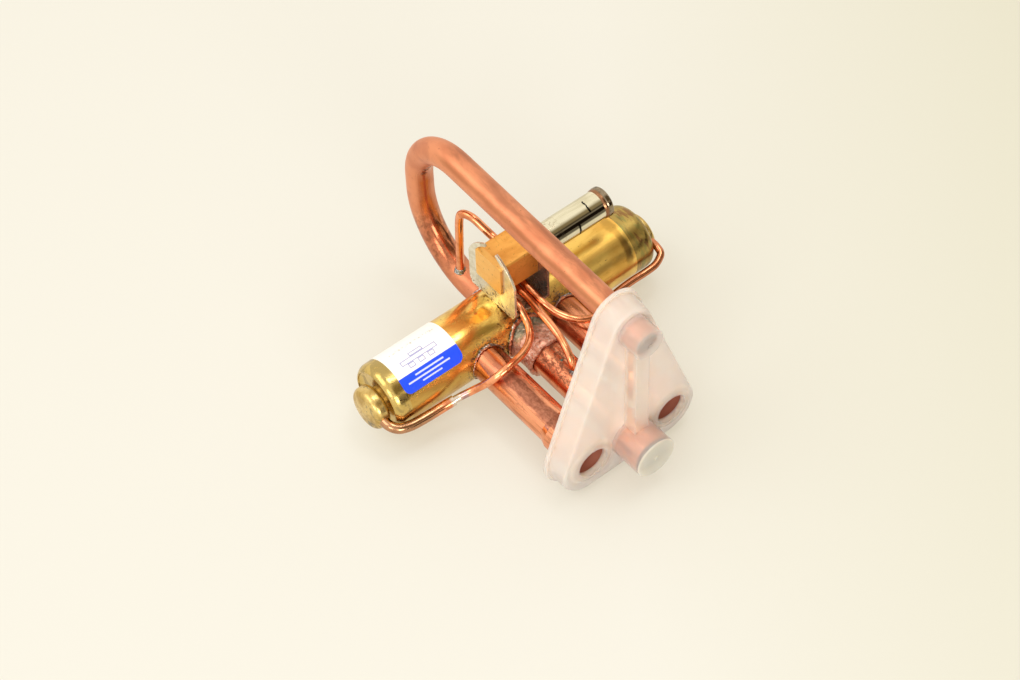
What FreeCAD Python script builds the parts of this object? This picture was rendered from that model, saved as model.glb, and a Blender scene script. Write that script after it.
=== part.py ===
import FreeCAD, Part
import math
import os

import Sketcher

# Four-way reversing valve, in millimetres.
#
# Every sub-part is drawn about the valve's own axis: X runs along the barrel, the three
# port tubes leave towards -Y and Z is up. Each then gets one common shift, which puts the
# origin at the bottom centre of the whole valve as it lies on a surface.

document = FreeCAD.newDocument("reversing_valve")
Vector = FreeCAD.Vector
X_AXIS = Vector(1, 0, 0)
Y_AXIS = Vector(0, 1, 0)
Z_AXIS = Vector(0, 0, 1)

# Driving dimensions: cell alias, value, what it is.
DIMENSIONS = [
    ("barrel_diameter", 24.2, "outside of the brass barrel"),
    ("barrel_wall", 1.0, "wall of the barrel and of its stamped ends"),
    ("barrel_end_room", 22.85, "end of the valve seat to each weld seam"),
    ("end_length", 6.0, "seam to the ring on the left stamped end"),
    ("far_end_length", 8.6, "seam to the ring on the right stamped end"),
    ("end_round_length", 3.0, "length of the rolled shoulder behind the ring"),
    ("end_ring_diameter", 21.2, "sharp ring round the end face"),
    ("end_ring_width", 0.4, "width of that ring"),
    ("end_ring_step", 0.45, "step from the ring down to the dish inside it"),
    ("end_face_depth", 1.2, "how far the end face lies inside the ring"),
    ("plug_shank_diameter", 6.0, "shank of the end plug"),
    ("plug_neck_diameter", 8.8, "neck of the end plug"),
    ("plug_head_diameter", 15.5, "head of the end plug"),
    ("plug_head_forward", 0.9, "middle of the head before the barrel axis"),
    ("plug_head_drop", 0.7, "middle of the head below the barrel axis"),
    ("plug_head_gap", 0.3, "ring to the back of the plug's head"),
    ("plug_reach", 12.3, "seam to the top of the plug's dome"),
    ("plug_dome_height", 0.5, "rise of the head's dome above its rim"),
    ("port_pitch", 16.8, "middle port to each outer port"),
    ("port_diameter", 12.7, "outside of a port tube"),
    ("port_wall", 0.8, "wall of a port tube"),
    ("port_length", 63.2, "axis to the end of an outer port tube"),
    ("socket_depth", 14.0, "depth of the expanded end that takes a pipe"),
    ("socket_flare", 2.6, "length of the flare before the socket"),
    ("socket_clearance", 0.06, "radial room round the pipe in a socket"),
    ("suction_length", 75.4, "axis to the end of the middle tube"),
    ("sleeve_diameter", 15.6, "copper sleeve at the middle tube's root"),
    ("sleeve_length", 23.2, "axis to the sleeve's free end"),
    ("solder_leg", 1.0, "leg of a silver solder fillet"),
    ("discharge_diameter", 9.52, "outside of the discharge tube"),
    ("discharge_wall", 0.8, "wall of the discharge tube"),
    ("discharge_mouth_diameter", 8.32, "sized bore at that tube's open end"),
    ("discharge_mouth_depth", 10.0, "depth of that sized bore"),
    ("discharge_end_length", 12.4, "length of the end piece with that bore"),
    ("discharge_back", 44.2, "axis to the loop's upright limb"),
    ("discharge_lower_bend", 28.2, "centreline radius of the lower bend"),
    ("discharge_upper_bend", 21.6, "centreline radius of the upper bend"),
    ("discharge_height", 56.3, "height of the run over the barrel axis"),
    ("discharge_fall", 1.95, "fall of the run towards the ports, degrees"),
    ("discharge_length", 71.4, "axis to the end of the discharge tube"),
    ("seat_face", 4.6, "axis to the sliding face of the valve seat"),
    ("seat_ledge", 3.4, "seat face to the end of the port tubes"),
    ("seat_port_diameter", 9.6, "ports in the seat face"),
    ("seat_margin", 2.6, "seat beyond the outer port tubes"),
    ("slide_wall", 1.5, "wall of the main slide"),
    ("slide_lap", 1.2, "slide lip outside the two ports it joins"),
    ("slide_flange", 1.3, "thickness of the slide's lip"),
    ("slide_gap", 0.3, "room round the moving pieces"),
    ("piston_room", 11.6, "each piston to the weld seam while the slide is in the middle"),
    ("piston_plate", 1.2, "thickness of the piston plates"),
    ("piston_inner_diameter", 20.6, "diameter of the piston plates"),
    ("seal_thickness", 1.4, "thickness of the piston's soft cup"),
    ("seal_lip", 2.2, "length of the cup's lip"),
    ("seal_gap", 0.15, "cup to barrel bore"),
    ("screw_diameter", 3.0, "piston screws"),
    ("screw_head_diameter", 5.4, "heads of the piston screws"),
    ("screw_head_height", 1.2, "height of the screw heads"),
    ("screw_spacing", 8.4, "between the two screws of a piston"),
    ("carrier_thickness", 1.2, "sheet of the slide carrier"),
    ("carrier_width", 14.0, "width of the slide carrier"),
    ("carrier_foot", 9.2, "height of the carrier's turned-up feet"),
    ("piston_screw_rise", 2.4, "piston screws behind the barrel axis"),
    ("stop_gap", 0.3, "room between a piston's screws and the plug at its limit"),
    ("bracket_thickness", 0.9, "sheet of the pilot bracket"),
    ("bracket_front", 4.1, "middle to the inside of the front plate"),
    ("bracket_rear", 10.0, "middle to the inside of the rear plate"),
    ("bracket_width", 21.4, "width of the bracket's foot"),
    ("bracket_claw_width", 24.0, "width over the two claws"),
    ("bracket_claw_height", 25.8, "foot to the claw tips"),
    ("bracket_shoulder", 2.4, "corner cut at each side of the foot"),
    ("bracket_rear_height", 22.0, "height of the rear plate"),
    ("pilot_offset", 0.6, "pilot axis behind the barrel axis"),
    ("pilot_height", 25.9, "pilot axis over the barrel axis"),
    ("pilot_block_width", 13.0, "width of the pilot block"),
    ("pilot_block_height", 12.6, "height of the pilot block"),
    ("pilot_block_nose", 5.8, "middle to the front of the pilot block"),
    ("pilot_block_rise", 1.2, "block's middle above the pilot axis"),
    ("pilot_bore_diameter", 8.2, "bore of the pilot block"),
    ("pilot_bore_end", 4.6, "middle to the bottom of that bore"),
    ("spigot_length", 6.0, "length of the spigot"),
    ("pilot_sleeve_diameter", 10.6, "outside of the stainless sleeve"),
    ("pilot_sleeve_wall", 0.5, "wall of the stainless sleeve"),
    ("pilot_sleeve_end", 42.0, "middle to the end of the stainless sleeve"),
    ("core_flange_diameter", 11.4, "flange of the fixed core"),
    ("core_flange_length", 2.3, "length of that flange"),
    ("core_length", 9.0, "fixed core inside the sleeve"),
    ("core_thread_diameter", 4.2, "tapping bore for the coil screw"),
    ("core_thread_depth", 8.0, "depth of the coil screw hole"),
    ("core_braze_width", 1.3, "copper ring beside the flange"),
    ("core_braze_height", 0.25, "how far that ring stands out"),
    ("plunger_clearance", 0.12, "plunger to sleeve, radial"),
    ("plunger_length", 13.0, "length of the plunger"),
    ("pilot_stroke", 3.2, "stroke of the plunger, and pitch of the pilot ports"),
    ("stem_diameter", 5.0, "stem of the plunger"),
    ("return_spring_diameter", 5.2, "mean diameter of the return spring"),
    ("return_spring_wire", 0.6, "wire of the return spring"),
    ("return_spring_turns", 6.0, "turns of the return spring"),
    ("return_spring_pocket", 7.0, "depth of the spring pocket in the plunger"),
    ("pilot_seat_diameter", 10.0, "diameter of the pilot seat"),
    ("pilot_seat_centre", 2.4, "middle of the valve to the pilot seat"),
    ("pilot_seat_drop", 2.9, "pilot axis to the pilot seat's face"),
    ("pilot_port_diameter", 1.0, "ports in the pilot seat"),
    ("pilot_slide_length", 5.6, "length of the pilot slide"),
    ("pilot_slide_width", 3.4, "width of the pilot slide"),
    ("capillary_diameter", 2.7, "outside of a capillary tube"),
    ("capillary_bore", 1.4, "bore of a capillary tube"),
    ("plug_tube_diameter", 3.7, "outside of the thicker tube into the left plug"),
    ("feed_diameter", 2.9, "outside of the discharge capillary"),
    ("feed_bore", 1.6, "bore of the discharge capillary"),
    ("solder_bead", 0.8, "width of the solder bead round a capillary"),
    ("label_past_seam", 0.4, "label's far edge beyond the weld seam"),
    ("label_length", 23.9, "length of the label along the barrel"),
    ("label_thickness", 0.12, "thickness of the label"),
    ("label_front_angle", 34.0, "label's lower edge above the port plane, degrees"),
    ("label_wrap_angle", 128.0, "how far the label goes round the barrel, degrees"),
    ("label_corner", 2.6, "radius of the label's corners"),
    ("cap_face_gap", 1.3, "outer port tubes to the front face of the protective cap"),
    ("cap_depth", 9.0, "front face to the open rim of the cap"),
    ("cap_wall", 1.0, "wall of the cap"),
    ("cap_top_radius", 8.0, "cap round the discharge tube"),
    ("cap_corner_radius", 11.0, "cap round the outer port tubes"),
    ("cap_base_drop", 13.6, "axis to the lower edge of the cap's face"),
    ("cap_rim_width", 1.6, "width of the flange round the open rim"),
    ("cap_rim_thickness", 1.2, "thickness of that flange"),
    ("cap_suction_gap", 2.1, "middle tube to the end of the long boss"),
    ("cap_fit", 0.1, "cap to the outside of the middle tube, radial"),
    ("cap_discharge_fit", 0.45, "cap to the outside of the sloping discharge tube, radial"),
    ("cap_boss_wall", 0.5, "wall of the two bosses"),
    ("cap_discharge_gap", 1.6, "discharge tube to the end of the short boss"),
    ("cap_boss_fillet", 0.8, "round at the ends of the bosses"),
    ("cap_collar_foot", 18.4, "foot of the collars round the two open holes"),
    ("cap_collar_diameter", 15.0, "rim of those collars"),
    ("cap_collar_height", 1.3, "how far the collars stand out"),
    ("cap_hole_diameter", 11.6, "the two open holes"),
    ("cap_rib_width", 5.5, "width of the upright rib"),
    ("cap_rib_height", 5.5, "how far the rib stands out"),
    ("cap_nib_diameter", 1.8, "moulding nib at the end of each boss"),
    ("cap_nib_height", 0.3, "height of those nibs"),
]


class Size:
    """A length with its number and the expression that ties it to the sheet."""

    def __init__(self, number, text):
        self.number = number
        self.text = text

    def __add__(self, other):
        other = as_size(other)
        return Size(self.number + other.number, "(" + self.text + " + " + other.text + ")")

    def __radd__(self, other):
        return as_size(other) + self

    def __sub__(self, other):
        other = as_size(other)
        return Size(self.number - other.number, "(" + self.text + " - " + other.text + ")")

    def __rsub__(self, other):
        return as_size(other) - self

    def __mul__(self, other):
        other = as_size(other)
        return Size(self.number * other.number, "(" + self.text + " * " + other.text + ")")

    def __rmul__(self, other):
        return as_size(other) * self

    def __truediv__(self, other):
        other = as_size(other)
        return Size(self.number / other.number, "(" + self.text + " / " + other.text + ")")

    def __neg__(self):
        return as_size(0) - self


def as_size(value):
    if isinstance(value, Size):
        return value
    return Size(float(value), repr(float(value)))


sheet = document.addObject("Spreadsheet::Sheet", "Sizes")
sizes = {}
for row, (alias, number, meaning) in enumerate(DIMENSIONS, start=1):
    sheet.set("A" + str(row), meaning)
    sheet.set("B" + str(row), str(number))
    sheet.setAlias("B" + str(row), alias)
    sizes[alias] = Size(float(number), "Sizes." + alias)
document.recompute()


def size(alias):
    return sizes[alias]


def num(alias):
    return sizes[alias].number


# Sizes that several sub-parts share.
barrel_radius = size("barrel_diameter") / 2
bore_radius = barrel_radius - size("barrel_wall")
port_radius = size("port_diameter") / 2
seat_half = size("port_pitch") + port_radius + size("seat_margin")
barrel_half = seat_half + size("barrel_end_room")
discharge_radius = size("discharge_diameter") / 2
socket_bore = port_radius + size("socket_clearance")
socket_radius = socket_bore + size("port_wall")
tube_root = size("seat_face") + size("seat_ledge")
cap_low = size("cap_base_drop") + size("cap_rim_width")
loop_back = size("discharge_back") + discharge_radius
cap_suction_end = size("suction_length") + size("cap_suction_gap")
cap_end = cap_suction_end + size("cap_nib_height")
shift_y = (cap_end - loop_back) / 2
shift_z = cap_low
REST = Vector(0, shift_y.number, shift_z.number)

nodes = []


def finish(item, label):
    """Name a finished sub-part and give it the common shift."""
    item.Label = label
    item.Placement = FreeCAD.Placement(REST, FreeCAD.Rotation())
    item.setExpression("Placement.Base.y", shift_y.text)
    item.setExpression("Placement.Base.z", shift_z.text)
    nodes.append(item)
    return item


def shaped(label, shape):
    """A sub-part whose shape is worked out here from the sheet's sizes."""
    item = document.addObject("Part::Feature", label)
    item.Shape = shape
    return finish(item, label)


def new_sketch(body, role, name="outline"):
    sketch = body.newObject("Sketcher::SketchObject", name)
    plane = [item for item in body.Origin.OriginFeatures if item.Role == role][0]
    sketch.AttachmentSupport = [(plane, "")]
    sketch.MapMode = "FlatFace"
    return sketch


def place_point(sketch, geometry, end, point):
    """Tie one end of an edge to two expressions, measured from the sketch's origin."""
    for kind, value in (("DistanceX", point[0]), ("DistanceY", point[1])):
        index = sketch.addConstraint(
            Sketcher.Constraint(kind, -1, 1, geometry, end, value.number))
        sketch.setExpression("Constraints[" + str(index) + "]", value.text)


def draw_outline(sketch, points):
    """Closed outline. A point is (x, y), or (x, y, radius, side) when an arc leads to it.

    side is 1 when the arc turns left on its way to the point and -1 when it turns right.
    """
    points = [tuple(as_size(value) for value in point[:3]) + point[3:] for point in points]
    first = len(sketch.Geometry)
    count = len(points)
    ends = []
    for index in range(count):
        start = points[index - 1]
        stop = points[index]
        a = Vector(start[0].number, start[1].number, 0)
        b = Vector(stop[0].number, stop[1].number, 0)
        if len(stop) > 2:
            radius, side = stop[2], stop[3]
            chord = b - a
            rise = math.sqrt(max(radius.number ** 2 - (chord.Length / 2) ** 2, 0.0))
            normal = Vector(-chord.y, chord.x, 0).normalize() * side
            centre = (a + b) * 0.5 + normal * rise
            from_angle = math.atan2(a.y - centre.y, a.x - centre.x)
            to_angle = math.atan2(b.y - centre.y, b.x - centre.x)
            circle = Part.Circle(centre, Z_AXIS, radius.number)
            if side > 0:
                sketch.addGeometry(Part.ArcOfCircle(circle, from_angle, to_angle), False)
                ends.append((1, 2))
            else:
                sketch.addGeometry(Part.ArcOfCircle(circle, to_angle, from_angle), False)
                ends.append((2, 1))
        else:
            sketch.addGeometry(Part.LineSegment(a, b), False)
            ends.append((1, 2))
    for index in range(count):
        geometry = first + index
        following = (index + 1) % count
        sketch.addConstraint(Sketcher.Constraint(
            "Coincident", geometry, ends[index][1], first + following, ends[following][0]))
        place_point(sketch, geometry, ends[index][1], points[index])
        if len(points[index]) > 2:
            radius = points[index][2]
            number = sketch.addConstraint(
                Sketcher.Constraint("Radius", geometry, radius.number))
            sketch.setExpression("Constraints[" + str(number) + "]", radius.text)


def draw_circle(sketch, centre, radius):
    centre = [as_size(value) for value in centre]
    middle = Vector(centre[0].number, centre[1].number, 0)
    geometry = sketch.addGeometry(Part.Circle(middle, Z_AXIS, radius.number), False)
    place_point(sketch, geometry, 3, centre)
    number = sketch.addConstraint(Sketcher.Constraint("Radius", geometry, radius.number))
    sketch.setExpression("Constraints[" + str(number) + "]", radius.text)


def new_body(name):
    return document.addObject("PartDesign::Body", name)


def turned(label, role, axis, points, keep=True):
    """A piece of revolution from half its section, turned about a sketch axis."""
    body = new_body(label)
    sketch = new_sketch(body, role)
    draw_outline(sketch, points)
    turn = body.newObject("PartDesign::Revolution", "turn")
    turn.Profile = sketch
    turn.ReferenceAxis = (sketch, [axis])
    turn.Angle = 360.0
    if keep:
        finish(body, label)
    return body


def pad(body, sketch, length, both_ways=False, backwards=False):
    feature = body.newObject("PartDesign::Pad", "pad")
    feature.Profile = sketch
    feature.Length = length.number
    feature.setExpression("Length", length.text)
    feature.Midplane = both_ways
    feature.Reversed = backwards
    return feature


def primitive(kind, name, values, base=(0, 0, 0), axis=None):
    """A Part primitive with its sizes and place tied to the sheet."""
    item = document.addObject(kind, name)
    for key, value in values.items():
        value = as_size(value)
        setattr(item, key, value.number)
        item.setExpression(key, value.text)
    base = [as_size(value) for value in base]
    rotation = FreeCAD.Rotation(Z_AXIS, axis) if axis is not None else FreeCAD.Rotation()
    item.Placement = FreeCAD.Placement(Vector(*[value.number for value in base]), rotation)
    for key, value in zip("xyz", base):
        item.setExpression("Placement.Base." + key, value.text)
    return item


def rod(name, radius, length, base=(0, 0, 0), axis=None):
    return primitive("Part::Cylinder", name, {"Radius": radius, "Height": length}, base, axis)


def block(name, lengths, low):
    keys = ("Length", "Width", "Height")
    return primitive("Part::Box", name, dict(zip(keys, lengths)), low)


def cut(name, base, tool):
    item = document.addObject("Part::Cut", name)
    item.Base = base
    item.Tool = tool
    return item


def fuse(name, items):
    item = document.addObject("Part::MultiFuse", name)
    item.Shapes = items
    return item


def common(name, items):
    item = document.addObject("Part::MultiCommon", name)
    item.Shapes = items
    return item


# Routes of the capillaries, point by point, about the valve's axis. Points near the ends of
# the barrel are counted from its weld seams.
seam = barrel_half.number
FEED_ROUTE = [
    (3.0, 4.6, 31.0), (2.9, 8.8, 31.2), (0.6, 16.6, 36.0), (-0.8, 20.9, 35.4),
    (-1.1, 21.6, 31.0), (-1.2, 22.0, 20.0), (-1.3, 22.4, 5.0),
]
LEFT_ROUTE = [
    (-0.8, 0.6, 21.8), (-0.8, 0.6, 19.4), (-0.9, -2.6, 16.2), (-1.4, -10.4, 15.0),
    (-1.5, -14.2, 11.6), (-3.2, -17.6, 9.9), (-6.4, -20.6, 9.9), (-10.4, -22.5, 9.9),
    (-15.0, -23.4, 9.9), (-19.2, -23.8, 9.4), (-22.6, -23.0, 7.4), (-25.2, -21.0, 4.4),
    (-28.2, -18.4, 1.2), (-32.4, -16.3, -1.0), (-34.64, -15.86, -1.48),
]
LEFT_PLUG_ROUTE = [
    (-34.64, -15.86, -1.48), (-38.0, -15.2, -2.2), (3.6 - seam, -14.7, -2.8),
    (-3.0 - seam, -14.2, -2.7), (-7.0 - seam, -13.1, -2.1), (-9.0 - seam, -10.6, -1.3),
    (-9.3 - seam, -3.6, -0.8),
]
SUCTION_ROUTE = [
    (2.4, 0.6, 21.8), (2.4, 0.6, 19.4), (2.6, -2.6, 16.4), (3.2, -8.4, 15.0),
    (2.9, -14.6, 14.4), (2.5, -20.2, 14.0), (1.9, -25.8, 13.3), (0.9, -31.0, 12.0),
    (0.0, -34.9, 9.8), (-0.3, -36.6, 5.8),
]
RIGHT_ROUTE = [
    (5.6, 0.6, 21.8), (5.6, 0.6, 19.4), (5.7, -2.6, 16.6), (6.2, -8.0, 14.9),
    (6.2, -12.4, 14.2), (7.6, -16.8, 12.2), (9.6, -20.8, 11.4), (12.8, -24.4, 10.6),
    (17.2, -25.8, 9.4), (22.0, -24.6, 7.4), (26.0, -21.4, 4.0), (30.4, -17.8, 0.4),
    (36.4, -15.2, -1.9), (seam - 5.0, -14.9, -1.7), (seam + 0.8, -15.2, -1.5),
    (seam + 5.8, -15.3, -0.9), (seam + 9.7, -13.5, 0.4), (seam + 10.0, -10.4, 1.3),
    (seam + 9.8, -3.4, 1.9),
]


def make_barrel():
    """Brass barrel: one tube with three ports at the front and one at the back."""
    length = barrel_half
    outside = rod("barrel_outside", barrel_radius, length * 2, (-length, 0, 0), X_AXIS)
    inside = rod("barrel_inside", bore_radius, length * 2 + 2, (-length - 1, 0, 0), X_AXIS)
    pitch = size("port_pitch")
    reach = barrel_radius + 1
    tools = [inside]
    for index, offset in enumerate((-pitch, as_size(0), pitch)):
        tools.append(rod("port_hole" + str(index), port_radius, reach, (offset, 0, 0), -Y_AXIS))
    tools.append(rod("discharge_hole", discharge_radius, reach, (0, 0, 0), Y_AXIS))
    finish(cut("barrel", outside, fuse("barrel_cuts", tools)), "barrel")


def ring_place(side):
    """Distance from the middle of the valve to the ring on this side's stamped end."""
    return barrel_half + size("end_length" if side < 0 else "far_end_length")


def make_end(side, name):
    """Stamped end: a cup with a large rolled shoulder and a sharp ring round a shallow dish."""
    wall = size("barrel_wall")
    seam = barrel_half
    radius = barrel_radius
    ring = size("end_ring_diameter") / 2
    hole = size("plug_shank_diameter") / 2
    ring_end = ring_place(side)
    face = ring_end - size("end_face_depth")
    face_back = face - wall
    run = size("end_round_length")
    bend_start = ring_end - run
    drop = radius - ring
    shoulder = (run * run + drop * drop) / (drop * 2)
    inside = ring - size("end_ring_width")
    points = [
        (seam, bore_radius),
        (seam, radius),
        (bend_start, radius),
        (ring_end, ring, shoulder, -1),
        (ring_end, inside),
        (ring_end - size("end_ring_step"), inside - 0.15),
        (face, inside - 2.6, 4.0, 1),
        (face, hole),
        (face_back, hole),
        (face_back, ring - wall * 1.2),
        (bend_start, bore_radius),
    ]
    points = [(as_size(point[0]) * side,) + tuple(point[1:3])
              + ((point[3] * side,) if len(point) > 3 else ()) for point in points]
    turned(name, "XY_Plane", "H_Axis", points)


def make_plug(side, name):
    """Brass plug in the stamped end. Its shank is the stop for the piston."""
    shank = size("plug_shank_diameter") / 2
    neck = size("plug_neck_diameter") / 2
    head = size("plug_head_diameter") / 2
    inner_end = piston_outer + size("port_pitch") / 2 + size("stop_gap")
    face = ring_place(side) - size("end_face_depth")
    back = ring_place(side) + size("plug_head_gap")
    top = barrel_half + size("plug_reach")
    rim = top - size("plug_dome_height")
    back_round = (rim - back) * 0.25
    front_round = (rim - back) * 0.45
    flat = head - front_round
    rise = size("plug_dome_height")
    dome = (flat * flat + rise * rise) / (rise * 2)
    stem_points = [
        (inner_end, 0),
        (inner_end, shank),
        (face, shank),
        (face, neck),
        (back + back_round, neck),
        (back + back_round, 0),
    ]
    head_points = [
        (back, 0),
        (back, head - back_round),
        (back + back_round, head, back_round, 1),
        (rim - front_round, head),
        (rim, flat, front_round, 1),
        (top, 0, dome, 1),
    ]
    pieces = []
    for part_name, points in (("_stem", stem_points), ("_head", head_points)):
        # Seen along +X the outline runs clockwise, so its arcs turn right.
        flipped = []
        for point in points:
            entry = (as_size(point[0]) * side,) + tuple(point[1:3])
            if len(point) > 3:
                entry = entry + (-point[3] * side,)
            flipped.append(entry)
        pieces.append(turned(name + part_name, "XY_Plane", "H_Axis", flipped, keep=False))
    for axis, amount in (("y", -size("plug_head_forward")), ("z", -size("plug_head_drop"))):
        setattr(pieces[1].Placement.Base, axis, amount.number)
        pieces[1].setExpression("Placement.Base." + axis, amount.text)
    body = fuse(name + "_whole", pieces)
    route, diameter = (RIGHT_ROUTE, "capillary_diameter")
    if side < 0:
        route, diameter = (LEFT_PLUG_ROUTE, "plug_tube_diameter")
    end = Vector(*route[-1])
    bore = num("capillary_bore") / 2
    middle = Vector(end.x, 0, 0)
    across = Part.makeCylinder(bore, (middle - end).Length, end, middle - end)
    start = inner_end.number - bore
    along = Part.makeCylinder(bore, abs(end.x) - start, Vector(start * side, 0, 0), X_AXIS * side)
    tool = document.addObject("Part::Feature", name + "_passage")
    tool.Shape = capillary_outside(route, diameter).fuse([across, along])
    finish(cut(name, body, tool), name)


# The shuttle is drawn with its slide in the middle and then set over the left pair of ports.
piston_inner = barrel_half - size("piston_room")
piston_outer = (piston_inner + size("piston_plate") * 2 + size("seal_thickness")
                + size("screw_head_height"))


def port_tube(label, length, offset=0, keep=True):
    """Copper port tube with an expanded end, tied into the valve seat at its root."""
    outer = port_radius
    inner = outer - size("port_wall")
    neck = length - size("socket_depth")
    flare = neck - size("socket_flare")
    points = [
        (inner, -tube_root),
        (outer, -tube_root),
        (outer, -flare),
        (socket_radius, -neck),
        (socket_radius, -length),
        (socket_bore, -length),
        (socket_bore, -neck),
        (inner, -flare),
    ]
    body = turned(label, "XY_Plane", "V_Axis", points, keep)
    if keep:
        offset = as_size(offset)
        body.Placement.Base.x = offset.number
        body.setExpression("Placement.Base.x", offset.text)
    return body


def solder_saddle(label, radius, offset, direction):
    """Solder fillet where a tube of this radius leaves the barrel's side."""
    leg = size("solder_leg")
    length = barrel_half
    collar = rod(label + "_collar", radius + leg, barrel_radius + leg, (offset, 0, 0), direction)
    around = rod(label + "_around", barrel_radius + leg, length * 2, (-length, 0, 0), X_AXIS)
    inner = rod(label + "_tube", radius, barrel_radius * 2, (offset, 0, 0), direction)
    barrel = rod(label + "_barrel", barrel_radius, length * 2, (-length, 0, 0), X_AXIS)
    ring = common(label + "_ring", [collar, around])
    finish(cut(label, ring, fuse(label + "_cuts", [inner, barrel])), label)


def make_sleeve():
    """Rough copper sleeve brazed over the root of the middle tube."""
    length = barrel_half
    outer = rod("sleeve_outside", size("sleeve_diameter") / 2, size("sleeve_length"), (0, 0, 0), -Y_AXIS)
    inner = rod("sleeve_inside", port_radius, size("sleeve_length") + 1, (0, 0, 0), -Y_AXIS)
    barrel = rod("sleeve_barrel", barrel_radius, length * 2, (-length, 0, 0), X_AXIS)
    finish(cut("suction_sleeve", outer, fuse("sleeve_cuts", [inner, barrel])), "suction_sleeve")


def make_discharge_tube():
    """Discharge tube: out of the back, up round two bends and over the barrel to the ports."""
    fall = math.radians(num("discharge_fall"))
    back = num("discharge_back")
    low = num("discharge_lower_bend")
    high = num("discharge_upper_bend")
    start = bore_radius.number
    end = num("discharge_length")
    slope = math.tan(fall)
    # The run passes over the barrel axis at discharge_height and falls towards the ports.
    centre_y = back - high
    bend_end_y = centre_y - high * math.sin(fall)
    bend_end_z = num("discharge_height") + slope * bend_end_y
    centre_z = bend_end_z - high * math.cos(fall)
    half = math.radians(45)
    half_turn = (math.pi / 2 + fall) / 2
    p0 = Vector(0, start, 0)
    p1 = Vector(0, back - low, 0)
    m1 = Vector(0, back - low + low * math.sin(half), low - low * math.cos(half))
    p2 = Vector(0, back, low)
    p3 = Vector(0, back, centre_z)
    m2 = Vector(0, centre_y + high * math.cos(half_turn), centre_z + high * math.sin(half_turn))
    p4 = Vector(0, bend_end_y, bend_end_z)
    mouth_end = Vector(0, -end, num("discharge_height") - slope * end)
    inward = (p4 - mouth_end).normalize()
    p5 = mouth_end + inward * num("discharge_end_length")
    spine = Part.Wire([
        Part.makeLine(p0, p1),
        Part.Arc(p1, m1, p2).toShape(),
        Part.makeLine(p2, p3),
        Part.Arc(p3, m2, p4).toShape(),
        Part.makeLine(p4, p5),
    ])
    outer = swept(spine, discharge_radius.number, Y_AXIS)
    inner = swept(spine, discharge_radius.number - num("discharge_wall"), Y_AXIS)
    y = FEED_ROUTE[-1][1]
    hole = capillary_outside(FEED_ROUTE, "feed_diameter")
    shaped("discharge_tube", outer.cut([inner, hole]))
    piece = Part.makeCylinder(discharge_radius.number, num("discharge_end_length"), mouth_end, inward)
    through = Part.makeCylinder(discharge_radius.number - num("discharge_wall"),
                                num("discharge_end_length"), mouth_end, inward)
    mouth = Part.makeCylinder(num("discharge_mouth_diameter") / 2, num("discharge_mouth_depth"),
                              mouth_end, inward)
    shaped("discharge_tube_end", piece.cut([through, mouth]))
    rise = low - math.sqrt(low ** 2 - max(y - back + low, 0.0) ** 2)
    make_bead("discharge_capillary_solder", FEED_ROUTE, "feed_diameter",
              rise + discharge_radius.number, outer)


def swept(spine, radius, direction):
    """Solid rod along a wire that starts in this direction."""
    start = spine.OrderedVertexes[0].Point
    profile = Part.Wire([Part.Circle(start, direction, radius).toShape()])
    return spine.makePipeShell([profile], True, True)


def rounded_path(points, name):
    """Wire through hand-set points: straight runs joined by tangent arcs."""
    points = [Vector(*point) for point in points]
    edges = []
    last = points[0]
    radii = []
    for before, corner, after in zip(points, points[1:], points[2:]):
        incoming = corner - before
        outgoing = after - corner
        turn = incoming.getAngle(outgoing)
        radius = 0.45 * min(incoming.Length, outgoing.Length) / math.tan(turn / 2)
        radii.append(round(radius, 1))
        reach = radius * math.tan(turn / 2)
        back = incoming.normalize()
        ahead = outgoing.normalize()
        first = corner - back * reach
        second = corner + ahead * reach
        inward = (ahead - back).normalize()
        middle = corner + inward * (radius / math.cos(turn / 2) - radius)
        edges.append(Part.makeLine(last, first))
        edges.append(Part.Arc(first, middle, second).toShape())
        last = second
    edges.append(Part.makeLine(last, points[-1]))
    print(name, "bend radii", radii)
    return Part.Wire(edges)


def make_seat():
    """Valve seat: a brass bar on the bore with stepped holes for the port tubes."""
    half = seat_half
    bar = rod("seat_bar", bore_radius, half * 2, (-half, 0, 0), X_AXIS)
    flat = block("seat_flat", (half * 2 + 2, bore_radius * 2, bore_radius * 2 + 2),
                 (-half - 1, -size("seat_face"), -bore_radius - 1))
    tools = [flat]
    pitch = size("port_pitch")
    for index, offset in enumerate((-pitch, as_size(0), pitch)):
        tools.append(rod("seat_port" + str(index), size("seat_port_diameter") / 2,
                         bore_radius + 1, (offset, 0, 0), -Y_AXIS))
        tools.append(rod("seat_step" + str(index), port_radius, bore_radius,
                         (offset, -tube_root, 0), -Y_AXIS))
    finish(cut("valve_seat", bar, fuse("seat_cuts", tools)), "valve_seat")


def shuttle_offset():
    return -size("port_pitch") / 2


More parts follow.
